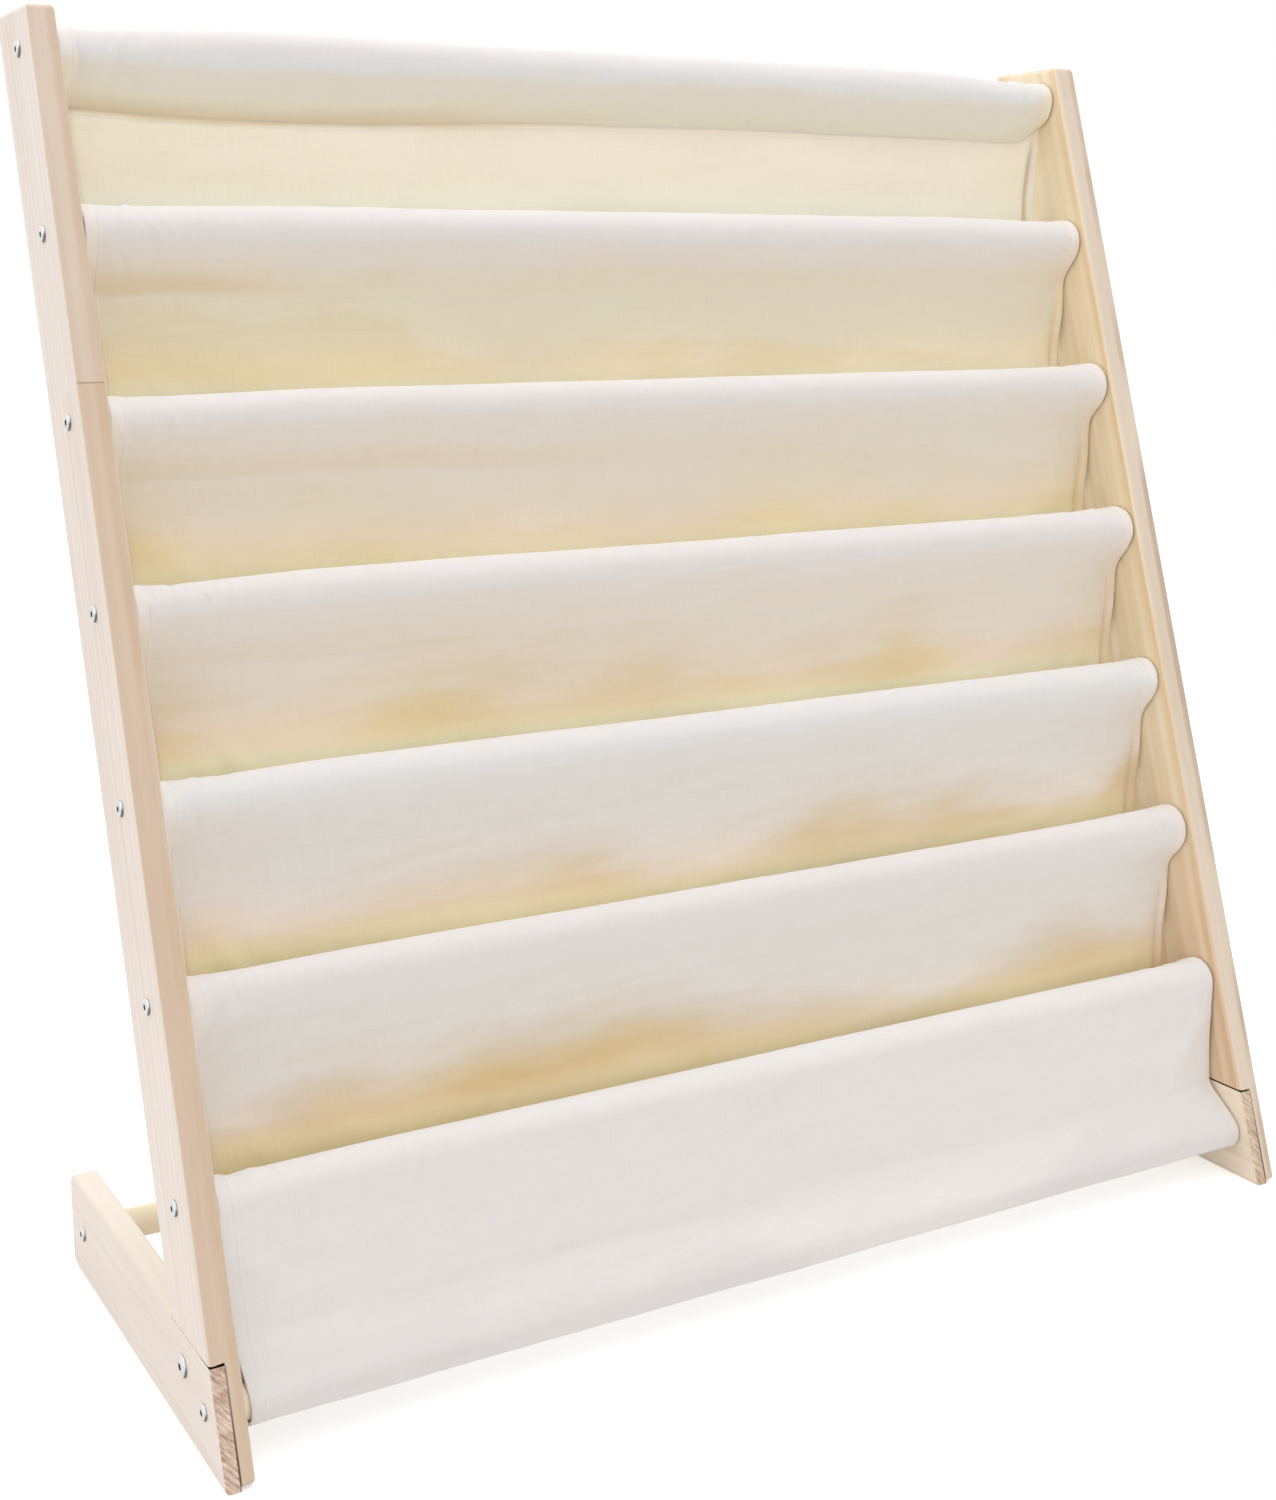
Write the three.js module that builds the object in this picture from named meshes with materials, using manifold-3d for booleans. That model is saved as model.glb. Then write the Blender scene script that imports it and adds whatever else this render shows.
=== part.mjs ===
// Sling bookshelf for a child's room: two leaning pine side frames, nine turned rods and one cotton sling.
//
// Each side frame is a leaning post half-lapped onto a floor board, and the two frames are identical.
// Seven rods run between the posts at one pitch, an eighth low in the feet's front ends and a ninth, bare,
// at their rear ends. A button-head screw at each end draws each rod against the boards.
// The sling is sewn round the front eight rods, so that it hangs in six pockets for books.
//
// Lengths are in millimetres. +X is the right-hand side seen from the front, +Y the rear and +Z up.
// The origin lies on the floor, under the middle of the shelf.
import * as THREE from "three";
import { mergeVertices } from "three/addons/utils/BufferGeometryUtils.js";
import Module from "manifold-3d";

const wasm = await Module();
wasm.setup();

// Side frames
const clearWidth = 764; // between the inner faces of the two frames
const boardThickness = 18;
const postWidth = 64;
const footHeight = 64;
const footLength = 300;
const leanAngle = THREE.MathUtils.degToRad(18);
const edgeRound = 3; // round of the long edges
const cornerSpare = 1; // what a corner's round has more than an edge's
const tongueLift = 1.5; // the post's tongue stops this far above the floor

// Rods, placed by their centres
const rodRadius = 10;
const slingRods = 7; // carried by the posts
const rodPitch = 112; // along the post
const lowestRodReach = 152; // along the post, from the floor to the lowest sling rod
const topReach = 25; // along the post, from the top rod to the post's sawn top
const rodSetback = 24; // behind the post's front face
const frontRodHeight = 33;
const frontRodSetback = 20; // behind the same face, in the foot
const rearRodHeight = 33;
const rearRodInset = 30; // ahead of the foot's rear end

// Screws into the rod ends
const screwRadius = 3;
const screwBite = 32; // into the rod
const screwHeadRadius = 5.25;
const screwHeadHeight = 2.8;
const screwSocket = 4; // across the flats
const screwSocketDepth = 1.6;

// Bolt and sleeve nut of the half lap
const boltRadius = 3;
const boltHeadRadius = 6.8;
const boltHeadHeight = 2.6;
const boltSocket = 5;
const boltSocketDepth = 1.5;
const boltEndGap = 3; // the bolt's tip stays this far inside the inner face
const boltInset = 14; // ahead of the post's rear edge
const boltDrop = 21; // below the foot's top edge
const sleeveWall = 1.2;
const sleeveLength = 12;
const sleeveHeadRadius = 6.5;
const sleeveHeadHeight = 1.5;

// Sling
const clothThickness = 1.5;
const edgeGap = 0.9; // between the sling's side edge and the board
const casingSlack = 1.8; // the casing's radius inside, over the rod's
const casingRipple = 0.8;
const seamDrop = 32; // from a rod's centre down to the seam that closes its casing
const seamHeight = 4;
const seamForward = 1.3; // the seam's middle hangs this far ahead of the rod's centre
const seamRipple = 1.2;
const pocketDepth = 44; // below the seam of the rod in front
const pocketSag = 5;
const wallBelly = 2; // how far the pocket's back wall swells forward
const edgeDrawIn = 4; // how far the side edge is drawn in at a pocket's foot
const frontCasingReach = 36; // from the front rod's centre up to the taut panel's seam
const panelHollow = 1.5; // how far the taut front panel is sucked in half way down

// Fits and cuts
const seatGap = 0.3; // between two pieces that bear on each other
const boreGap = 0.3; // round a shank in its hole
const overrun = 5; // a cutting tool's length past the wood

// Facet counts
const roundSides = 20;
const headSides = 16;
const boreSides = 12;
const keySides = 6;
const waveStations = 9; // sections along the sling
const arcSteps = 9; // round a casing
const bendSteps = 5; // round a pocket's foot
const wallSteps = 3; // down a pocket's wall

// Sizes that follow
const lean = { sin: Math.sin(leanAngle), cos: Math.cos(leanAngle), tan: Math.tan(leanAngle) };
const topRodReach = lowestRodReach + rodPitch * (slingRods - 1);
const overallHeight = (topRodReach + topReach) * lean.cos - rodSetback * lean.sin;
const postRun = postWidth / lean.cos; // the leaning post's width along the floor
const overallDepth = Math.max(footLength, postRun + overallHeight * lean.tan);
const innerFace = clearWidth / 2;
const outerFace = innerFace + boardThickness;
const rodLength = clearWidth - 2 * seatGap;
const sleeveRadius = boltRadius + boreGap + sleeveWall;

// A place on the leaning post: reach runs up its front face from the floor, and depth in behind that face.
function onPost(reach, depth) {
  return new THREE.Vector2(
    reach * lean.sin + depth * lean.cos,
    reach * lean.cos - depth * lean.sin,
  );
}

// Rod centres in (y, z), the top rod first. The front rod's centre lies at its own height in the foot.
const slingRodCentres = Array.from({ length: slingRods }, (_, i) =>
  onPost(topRodReach - i * rodPitch, rodSetback),
);
const frontRodCentre = new THREE.Vector2(
  frontRodHeight * lean.tan + frontRodSetback / lean.cos,
  frontRodHeight,
);
const rearRodCentre = new THREE.Vector2(footLength - rearRodInset, rearRodHeight);
const boltHeight = footHeight - boltDrop;
const boltCentre = new THREE.Vector2(
  boltHeight * lean.tan + postRun - boltInset / lean.cos,
  boltHeight,
);

const pine = { color: 0xe6d6c0, roughness: 0.62, metalness: 0 };
const dowelWood = { color: 0xe3cda2, roughness: 0.6, metalness: 0 };
const canvas = { color: 0xe6dccb, roughness: 0.95, metalness: 0 };
const steel = { color: 0xb9bcc0, roughness: 0.3, metalness: 1 };

// Solids and meshes
function solidOf(geometry) {
  const bare = geometry.clone();
  bare.deleteAttribute("normal");
  bare.deleteAttribute("uv");
  const merged = mergeVertices(bare);
  return new wasm.Manifold(
    new wasm.Mesh({
      numProp: 3,
      vertProperties: merged.getAttribute("position").array,
      triVerts: new Uint32Array(merged.index.array),
    }),
  );
}

function geometryOf(solid) {
  const { vertProperties, triVerts } = solid.getMesh();
  const indexed = new THREE.BufferGeometry();
  indexed.setAttribute("position", new THREE.BufferAttribute(vertProperties, 3));
  indexed.setIndex(new THREE.BufferAttribute(triVerts, 1));
  const faceted = indexed.toNonIndexed();
  faceted.computeVertexNormals();
  return faceted;
}

function cut(geometry, tools) {
  return geometryOf(tools.reduce((wood, tool) => wood.subtract(solidOf(tool)), solidOf(geometry)));
}

function piece(name, geometry, finish) {
  const mesh = new THREE.Mesh(geometry, new THREE.MeshStandardMaterial(finish));
  mesh.name = name;
  return mesh;
}

// An outline in (y, z) made solid from x = from to x = to.
const outlineToFrame = new THREE.Matrix4().makeBasis(
  new THREE.Vector3(0, 1, 0),
  new THREE.Vector3(0, 0, 1),
  new THREE.Vector3(1, 0, 0),
);

function slab(outline, from, to, round = 0) {
  const bevel = { bevelThickness: round, bevelSize: round, bevelOffset: -round, bevelSegments: 2 };
  const geometry = new THREE.ExtrudeGeometry(outline, {
    depth: to - from - 2 * round,
    curveSegments: 2,
    bevelEnabled: round > 0,
    ...(round > 0 ? bevel : {}),
  });
  return geometry.applyMatrix4(outlineToFrame).translate(from + round, 0, 0);
}

// A convex outline, its corners in anticlockwise order seen from +X and each rounded.
function roundedOutline(corners, radius) {
  const shape = new THREE.Shape();
  corners.forEach((corner, i) => {
    const before = corners[(i + corners.length - 1) % corners.length].clone().sub(corner).normalize();
    const after = corners[(i + 1) % corners.length].clone().sub(corner).normalize();
    const half = Math.acos(before.dot(after)) / 2;
    const centre = before.clone().add(after).normalize().multiplyScalar(radius / Math.sin(half)).add(corner);
    const touchIn = before.clone().multiplyScalar(radius / Math.tan(half)).add(corner).sub(centre);
    const touchOut = after.clone().multiplyScalar(radius / Math.tan(half)).add(corner).sub(centre);
    shape.absarc(centre.x, centre.y, radius, touchIn.angle(), touchOut.angle(), false);
  });
  return shape.closePath();
}

function plainOutline(corners) {
  return new THREE.Shape(corners);
}

// A cylinder along X that bores or sockets another piece.
function bore(radius, centre, from, to, sides = boreSides) {
  return new THREE.CylinderGeometry(radius, radius, to - from, sides)
    .rotateZ(-Math.PI / 2)
    .translate((from + to) / 2, centre.x, centre.y);
}

// A turned piece along X. The profile lists (x, radius) and starts and ends on the axis.
function turned(profile, sides) {
  const points = profile.map(([x, radius]) => new THREE.Vector2(radius, x));
  return new THREE.LatheGeometry(points, sides).rotateZ(-Math.PI / 2);
}

// The half-lapped frame, with its left face at x = 0. The foot keeps the left half of the lap, and
// the post's tongue the right.
const lapFace = boardThickness / 2;
const cornerRound = edgeRound + cornerSpare;

function leaningFace(height, run) {
  return new THREE.Vector2(height * lean.tan + run, height);
}

function post() {
  const board = slab(
    roundedOutline(
      [
        leaningFace(tongueLift, 0),
        leaningFace(tongueLift, postRun),
        leaningFace(overallHeight, postRun),
        leaningFace(overallHeight, 0),
      ],
      cornerRound,
    ),
    0,
    boardThickness,
    edgeRound,
  );
  const shoulder = footHeight + seatGap;
  const halving = slab(
    plainOutline([
      new THREE.Vector2(-overrun, -overrun),
      new THREE.Vector2(postRun + shoulder + overrun, -overrun),
      new THREE.Vector2(postRun + shoulder + overrun, shoulder),
      new THREE.Vector2(-overrun, shoulder),
    ]),
    -overrun,
    lapFace + seatGap / 2,
  );
  const screwHoles = [...slingRodCentres, frontRodCentre].map((centre) =>
    bore(screwRadius + boreGap, centre, -overrun, boardThickness + overrun),
  );
  return cut(board, [halving, ...screwHoles, sleeveHole()]);
}

function foot() {
  const board = slab(
    roundedOutline(
      [
        leaningFace(0, 0),
        new THREE.Vector2(footLength, 0),
        new THREE.Vector2(footLength, footHeight),
        leaningFace(footHeight, 0),
      ],
      cornerRound,
    ),
    0,
    boardThickness,
    edgeRound,
  );
  const halving = slab(
    plainOutline([
      leaningFace(-overrun, -overrun),
      leaningFace(-overrun, postRun + seatGap),
      leaningFace(footHeight + overrun, postRun + seatGap),
      leaningFace(footHeight + overrun, -overrun),
    ]),
    lapFace - seatGap / 2,
    boardThickness + overrun,
  );
  const screwHoles = [frontRodCentre, rearRodCentre].map((centre) =>
    bore(screwRadius + boreGap, centre, -overrun, boardThickness + overrun),
  );
  return cut(board, [halving, ...screwHoles, sleeveHole()]);
}

function sleeveHole() {
  return bore(sleeveRadius + boreGap, boltCentre, -overrun, boardThickness + overrun);
}

// A rod with a blind hole for the screw in each end.
function rod() {
  const end = rodLength / 2;
  const holeFoot = clearWidth / 2 - screwBite - seatGap;
  const holeRadius = screwRadius + boreGap;
  return turned(
    [
      [-holeFoot, 0],
      [-holeFoot, holeRadius],
      [-end, holeRadius],
      [-end, rodRadius],
      [end, rodRadius],
      [end, holeRadius],
      [holeFoot, holeRadius],
      [holeFoot, 0],
    ],
    roundSides,
  );
}

// A domed head with a hexagon socket on a plain shank. The head seats at x = 0 and the shank runs to +X.
const domeShares = [1, 0.8, 0.46]; // of the head's radius
const riseShares = [0.3, 0.78, 1]; // of the head's height
function headedPin({ headRadius, headHeight, socket, socketDepth, shankRadius, shankLength }) {
  const seat = -seatGap;
  const dome = domeShares.map((share, i) => [
    seat - headHeight * riseShares[i],
    headRadius * share,
  ]);
  const body = turned(
    [
      [seat - headHeight, 0],
      ...dome.reverse(),
      [seat, headRadius],
      [seat, shankRadius],
      [shankLength, shankRadius],
      [shankLength, 0],
    ],
    headSides,
  );
  const key = bore(
    socket / 2 / Math.cos(Math.PI / keySides),
    new THREE.Vector2(0, 0),
    seat - headHeight - overrun,
    seat - headHeight + socketDepth,
    keySides,
  );
  return cut(body, [key]);
}

const rodScrew = {
  headRadius: screwHeadRadius,
  headHeight: screwHeadHeight,
  socket: screwSocket,
  socketDepth: screwSocketDepth,
  shankRadius: screwRadius,
  shankLength: boardThickness + screwBite,
};

const lapBolt = {
  headRadius: boltHeadRadius,
  headHeight: boltHeadHeight,
  socket: boltSocket,
  socketDepth: boltSocketDepth,
  shankRadius: boltRadius,
  shankLength: boardThickness - boltEndGap,
};

// The sleeve nut comes in from the board's other face, at x = boardThickness, and stops short of the first.
function sleeveNut() {
  const seat = boardThickness + seatGap;
  const mouth = boardThickness - sleeveLength;
  const hole = boltRadius + boreGap;
  const blind = boardThickness - boltEndGap + seatGap;
  return turned(
    [
      [mouth, sleeveRadius],
      [mouth, hole],
      [blind, hole],
      [blind, 0],
      [seat + sleeveHeadHeight, 0],
      [seat + sleeveHeadHeight, sleeveHeadRadius],
      [seat, sleeveHeadRadius],
      [seat, sleeveRadius],
      [mouth, sleeveRadius],
    ].reverse(),
    headSides,
  );
}

// Sling sections, in (y, z)

// The points round a circle from the tangent that meets tip on one side to the tangent on the other.
function roundFromTip(centre, radius, tip, steps, otherTip = tip) {
  const start = tip.clone().sub(centre);
  const finish = otherTip.clone().sub(centre);
  const from = start.angle() + Math.acos(radius / start.length());
  let to = finish.angle() - Math.acos(radius / finish.length());
  while (to < from) to += 2 * Math.PI;
  return Array.from({ length: steps + 1 }, (_, i) => {
    const angle = from + ((to - from) * i) / steps;
    return new THREE.Vector2(Math.cos(angle), Math.sin(angle)).multiplyScalar(radius).add(centre);
  });
}

function wave(share, count, phase) {
  return Math.sin(2 * Math.PI * (count * share + phase));
}

const hangShares = new THREE.Vector2(-0.45, -0.55); // of the slack: a casing hangs ahead of and below its rod
const casingWaves = 2.3; // ripples along the sling
const seamWaves = 1.4;
const phaseShare = 0.37; // of a ripple, from one rod to the next
const bellyRippleShare = 0.3; // of the belly

// How the cloth lies at one place along rod i: share runs from 0 at the left edge to 1 at the right.
function clothAt(i, share) {
  const phase = i * phaseShare;
  const ripple = (casingRipple * (1 + wave(share, casingWaves, phase))) / 2;
  return {
    casingRadius: rodRadius + casingSlack + ripple,
    casingShift: hangShares.clone().multiplyScalar(casingSlack + ripple),
    seamZ: -seamDrop + seamRipple * wave(share, seamWaves, phase),
    sag: pocketSag * Math.sin(Math.PI * share),
    belly: wallBelly * (1 - bellyRippleShare + bellyRippleShare * wave(share, seamWaves, phase)),
  };
}

// The seam under rod i: its middle, between the two layers of cloth.
function seamUnder(i, share) {
  const { seamZ } = clothAt(i, share);
  const rodCentre = slingRodCentres[i];
  if (i < slingRods - 1)
    return new THREE.Vector2(rodCentre.x - seamForward, rodCentre.y + seamZ);
  const { frontFace } = panelLine(share);
  const height = rodCentre.y + seamZ;
  return new THREE.Vector2(frontFace(height) + clothThickness, height);
}

// The taut panel's front face, from the last sling rod's casing to the front rod's seam.
function panelLine(share) {
  const rodCentre = slingRodCentres[slingRods - 1];
  const { casingRadius, casingShift } = clothAt(slingRods - 1, share);
  const centre = rodCentre.clone().add(casingShift);
  const tip = frontSeam();
  const radius = casingRadius + clothThickness;
  const towards = tip.clone().sub(centre);
  const angle = towards.angle() - Math.acos(radius / towards.length());
  const touch = new THREE.Vector2(Math.cos(angle), Math.sin(angle)).multiplyScalar(radius).add(centre);
  const frontFace = (height) => {
    const down = (touch.y - height) / (touch.y - tip.y);
    return touch.x + (tip.x - touch.x) * down + panelHollow * Math.sin(Math.PI * down);
  };
  return { touch, tip, frontFace };
}

// The front face of the seam over the front rod, which the taut panel pulls towards the last sling rod.
function frontSeam() {
  const rodCentre = slingRodCentres[slingRods - 1];
  const rise = rodCentre.y - frontRodCentre.y;
  const pull = Math.asin((rodCentre.x - rodRadius - frontRodCentre.x) / rise);
  return new THREE.Vector2(
    frontRodCentre.x + frontCasingReach * Math.sin(pull) - clothThickness / 2,
    frontRodCentre.y + frontCasingReach * Math.cos(pull),
  );
}

// Rod i's casing, the pocket's back wall below it, the pocket's foot and the wall up to the next seam.
function pocketSection(i, share) {
  const { casingRadius, casingShift, sag, belly } = clothAt(i, share);
  const rodCentre = slingRodCentres[i];
  const seam = seamUnder(i, share);
  const nextSeam = seamUnder(i + 1, share);
  const casingCentre = rodCentre.clone().add(casingShift);
  const halfSeam = seamHeight / 2;
  const backRear = seam.x;
  const frontOuter = nextSeam.x + seatGap;
  const bend = (backRear - frontOuter) / 2;
  const bendCentre = new THREE.Vector2(
    (backRear + frontOuter) / 2,
    nextSeam.y - pocketDepth - sag + bend,
  );
  const wallTop = seam.y - halfSeam;
  const frontTop = nextSeam.y - halfSeam - seatGap;
  const bendPoint = (angle, radius) =>
    new THREE.Vector2(Math.cos(angle), Math.sin(angle)).multiplyScalar(radius).add(bendCentre);
  const bendAngles = Array.from({ length: bendSteps + 1 }, (_, k) => (-Math.PI * k) / bendSteps);
  const wallShares = Array.from({ length: wallSteps - 1 }, (_, k) => (k + 1) / wallSteps);
  const wallPoint = (down, offset) =>
    new THREE.Vector2(
      backRear - offset - belly * Math.sin(Math.PI * down),
      wallTop + (bendCentre.y - wallTop) * down,
    );
  const rearLip = new THREE.Vector2(seam.x + clothThickness, seam.y - halfSeam);
  const frontLip = new THREE.Vector2(seam.x - clothThickness, seam.y - halfSeam);
  const rearTop = new THREE.Vector2(seam.x + clothThickness, seam.y + halfSeam);
  const frontTopLip = new THREE.Vector2(seam.x - clothThickness, seam.y + halfSeam);
  const outer = [
    rearLip,
    rearTop,
    ...roundFromTip(casingCentre, casingRadius + clothThickness, rearTop, arcSteps, frontTopLip),
    frontTopLip,
    frontLip,
    ...wallShares.map((down) => wallPoint(down, clothThickness)),
    ...bendAngles.map((angle) => bendPoint(angle, bend - clothThickness)),
    new THREE.Vector2(frontOuter + clothThickness, frontTop),
    new THREE.Vector2(frontOuter, frontTop),
    ...bendAngles.reverse().map((angle) => bendPoint(angle, bend)),
    ...wallShares.reverse().map((down) => wallPoint(down, 0)),
    new THREE.Vector2(backRear, seam.y - halfSeam),
  ];
  const innerTip = new THREE.Vector2(seam.x, seam.y + halfSeam + clothThickness);
  const inner = [...roundFromTip(casingCentre, casingRadius, innerTip, arcSteps), innerTip];
  return { outer, holes: [inner], foldFrom: seam.y - halfSeam, foldTo: bendCentre.y - bend };
}

// The last sling rod's casing, the taut panel in front of the lowest pocket and the front rod's casing.
function panelSection(share) {
  const last = slingRods - 1;
  const { casingRadius, casingShift } = clothAt(last, share);
  const centre = slingRodCentres[last].clone().add(casingShift);
  const halfSeam = seamHeight / 2;
  const { tip, frontFace } = panelLine(share);
  const seam = seamUnder(last, share);
  const rearTop = new THREE.Vector2(seam.x + clothThickness, seam.y + halfSeam);
  const rearLip = new THREE.Vector2(seam.x + clothThickness, seam.y - halfSeam);
  const panelTop = seam.y - halfSeam;
  const panelHeights = Array.from(
    { length: wallSteps - 1 },
    (_, k) => panelTop + ((tip.y - panelTop) * (k + 1)) / wallSteps,
  );
  const frontRadius = rodRadius + casingSlack;
  const tipRear = new THREE.Vector2(tip.x + 2 * clothThickness, tip.y);
  const outer = [
    rearLip,
    rearTop,
    ...roundFromTip(centre, casingRadius + clothThickness, rearTop, arcSteps, tip),
    new THREE.Vector2(frontFace(seam.y), seam.y),
    ...panelHeights.map((height) => new THREE.Vector2(frontFace(height), height)),
    tip,
    ...roundFromTip(frontRodCentre, frontRadius + clothThickness, tip, arcSteps, tipRear),
    tipRear,
    ...panelHeights
      .reverse()
      .map((height) => new THREE.Vector2(frontFace(height) + clothThickness, height)),
    new THREE.Vector2(frontFace(panelTop) + clothThickness, panelTop),
  ];
  const upperTip = new THREE.Vector2(
    frontFace(seam.y + halfSeam) + clothThickness,
    seam.y + halfSeam + clothThickness,
  );
  const upper = [...roundFromTip(centre, casingRadius, upperTip, arcSteps), upperTip];
  const lowerTip = new THREE.Vector2(tip.x + clothThickness, tip.y - halfSeam);
  const lower = [...roundFromTip(frontRodCentre, frontRadius, lowerTip, arcSteps), lowerTip];
  return { outer, holes: [upper, lower], foldFrom: panelTop, foldTo: -Infinity };
}

// A closed solid through the sections along X. Its side edges are drawn in below the seam.
function hungCloth(sectionAt) {
  const half = innerFace - edgeGap;
  const sections = Array.from({ length: waveStations }, (_, k) => {
    const share = k / (waveStations - 1);
    const { outer, holes, foldFrom, foldTo } = sectionAt(share);
    const loops = [outer, ...holes.map((hole) => [...hole].reverse())];
    const side = 2 * share - 1;
    const place = (point) => {
      const down = THREE.MathUtils.clamp((foldFrom - point.y) / (foldFrom - foldTo || 1), 0, 1);
      return [side * (half - edgeDrawIn * down * side * side), point.x, point.y];
    };
    return { loops, places: loops.map((loop) => loop.map(place)) };
  });
  const starts = [];
  let size = 0;
  for (const loop of sections[0].loops) {
    starts.push(size);
    size += loop.length;
  }
  const index = [];
  for (let k = 0; k + 1 < sections.length; k++)
    sections[k].loops.forEach((loop, n) =>
      loop.forEach((_, j) => {
        const here = k * size + starts[n] + j;
        const beside = k * size + starts[n] + ((j + 1) % loop.length);
        index.push(here, beside, here + size, beside, beside + size, here + size);
      }),
    );
  const ends = [0, sections.length - 1];
  for (const k of ends) {
    const [contour, ...holes] = sections[k].loops;
    const shift = k * size;
    for (const [a, b, c] of THREE.ShapeUtils.triangulateShape(contour, holes))
      index.push(...(k ? [a, b, c] : [c, b, a]).map((corner) => corner + shift));
  }
  const geometry = new THREE.BufferGeometry();
  const positions = sections.flatMap(({ places }) => places.flat(2));
  geometry.setAttribute("position", new THREE.Float32BufferAttribute(positions, 3));
  geometry.setIndex(index);
  return geometryOf(solidOf(geometry));
}

// Assembly, built with the feet's toes at y = 0 and then moved back to the origin
const shelf = new THREE.Group();
const assembly = new THREE.Group();
assembly.position.y = -overallDepth / 2;
shelf.add(assembly);

function place(mesh, x, centre) {
  mesh.position.set(x, centre ? centre.x : 0, centre ? centre.y : 0);
  assembly.add(mesh);
  return mesh;
}

for (const [side, leftFace] of [
  ["left", -outerFace],
  ["right", innerFace],
]) {
  place(piece(`${side}_post`, post(), pine), leftFace);
  place(piece(`${side}_foot`, foot(), pine), leftFace);
}

slingRodCentres.forEach((centre, i) => place(piece(`sling_rod_${i + 1}`, rod(), dowelWood), 0, centre));
place(piece("front_rod", rod(), dowelWood), 0, frontRodCentre);
place(piece("rear_rod", rod(), dowelWood), 0, rearRodCentre);

// A piece made for the left frame's outer face, or turned half round for the right frame's.
function placeFromSide(side, mesh, centre) {
  if (side === "right") mesh.rotation.z = Math.PI;
  return place(mesh, side === "left" ? -outerFace : outerFace, centre);
}

for (const side of ["left", "right"]) {
  const ends = [
    ...slingRodCentres.map((centre, i) => [`${side}_screw_${i + 1}`, centre]),
    [`${side}_front_screw`, frontRodCentre],
    [`${side}_rear_screw`, rearRodCentre],
  ];
  for (const [name, centre] of ends) placeFromSide(side, piece(name, headedPin(rodScrew), steel), centre);
  placeFromSide(side, piece(`${side}_lap_bolt`, headedPin(lapBolt), steel), boltCentre);
  placeFromSide(side, piece(`${side}_sleeve_nut`, sleeveNut(), steel), boltCentre);
}

for (let i = 0; i < slingRods - 1; i++)
  place(piece(`sling_pocket_${i + 1}`, hungCloth((share) => pocketSection(i, share)), canvas), 0);
place(piece("sling_front_panel", hungCloth(panelSection), canvas), 0);

export default shelf;
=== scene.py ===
# %% [markdown]
# # A child's sling bookshelf
#
# The real shelf is two leaning pine side frames, nine turned rods and one long piece of off-white canvas.
# The canvas is sewn round eight of the rods, so that it hangs between them in six pockets for books.
# The construction is already fixed in the frame that is loaded here. This lesson gives it its looks:
# boards with eased edges and a real half lap, button-head screws, and canvas that hangs, folds and has hems.
#
# Lengths are in metres. +X is the right-hand side seen from the front, +Y the rear and +Z up.

import math

import bmesh
import bpy
import numpy as np
from mathutils import Matrix, Vector


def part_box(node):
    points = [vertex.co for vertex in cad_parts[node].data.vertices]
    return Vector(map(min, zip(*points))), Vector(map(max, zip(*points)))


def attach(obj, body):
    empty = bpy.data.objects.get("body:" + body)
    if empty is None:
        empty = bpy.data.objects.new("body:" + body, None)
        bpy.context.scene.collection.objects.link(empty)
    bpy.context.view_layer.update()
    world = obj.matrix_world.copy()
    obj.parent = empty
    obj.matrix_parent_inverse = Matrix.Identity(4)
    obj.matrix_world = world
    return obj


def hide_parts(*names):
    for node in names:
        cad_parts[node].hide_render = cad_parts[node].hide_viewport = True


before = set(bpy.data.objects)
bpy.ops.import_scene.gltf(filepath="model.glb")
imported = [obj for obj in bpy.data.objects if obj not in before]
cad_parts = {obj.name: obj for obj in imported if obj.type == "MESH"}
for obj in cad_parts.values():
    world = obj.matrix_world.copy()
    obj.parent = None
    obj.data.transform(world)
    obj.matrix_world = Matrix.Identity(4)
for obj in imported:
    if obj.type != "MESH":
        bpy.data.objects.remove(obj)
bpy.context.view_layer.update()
mm = 0.001
print("nodes in the frame:", len(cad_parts))

# %% [markdown]
# ## Where things are
#
# Every place comes from the frame. A rod's box gives its centre line, and the line through the centres of the
# top and the lowest sling rod gives the lean of the posts. Only sizes that a box can't tell are typed here.

# %% Sizes
sling_rods = [f"sling_rod_{i + 1}" for i in range(7)]
all_rods = [*sling_rods, "front_rod", "rear_rod"]


def middle(node):
    low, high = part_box(node)
    return (low + high) / 2


rod_centres = {node: middle(node) for node in all_rods}
post_line = (rod_centres["sling_rod_1"] - rod_centres["sling_rod_7"]).normalized()
lean = math.atan2(post_line.y, post_line.z)
into_post = Vector((0, math.cos(lean), -math.sin(lean)))
board_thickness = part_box("left_post")[1].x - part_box("left_post")[0].x
board_width = 64 * mm
rod_setback = 24 * mm
edge_round = 3 * mm
seat_gap = 0.3 * mm
front_of_post = rod_centres["sling_rod_7"] - into_post * rod_setback
foot_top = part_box("left_foot")[1].z
shelf_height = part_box("left_post")[1].z
inner_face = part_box("right_post")[0].x
edge_gap = 1.6 * mm
half_width = inner_face - edge_gap
print(f"posts lean {math.degrees(lean):.1f} degrees, inner faces {2 * inner_face:.3f} apart")

# %% [markdown]
# ## The camera
#
# The photograph was taken from the left, a little above the shelf's top, and close by, so the left post looks
# much larger than the right one. The picture was cropped off centre, which the camera's shift repeats.

# %% Camera
camera_place = Vector((-0.7055, -1.0809, 0.6339))
camera_yaw = math.radians(28.005)
camera_pitch = math.radians(-11.143)
camera_roll = math.radians(-0.325)
ahead = Vector(
    (
        math.sin(camera_yaw) * math.cos(camera_pitch),
        math.cos(camera_yaw) * math.cos(camera_pitch),
        math.sin(camera_pitch),
    )
)
level_right = Vector((math.cos(camera_yaw), -math.sin(camera_yaw), 0))
camera_right = Matrix.Rotation(-camera_roll, 3, ahead) @ level_right
camera_up = camera_right.cross(ahead)
camera_turn = Matrix((camera_right, camera_up, -ahead)).transposed()

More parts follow.
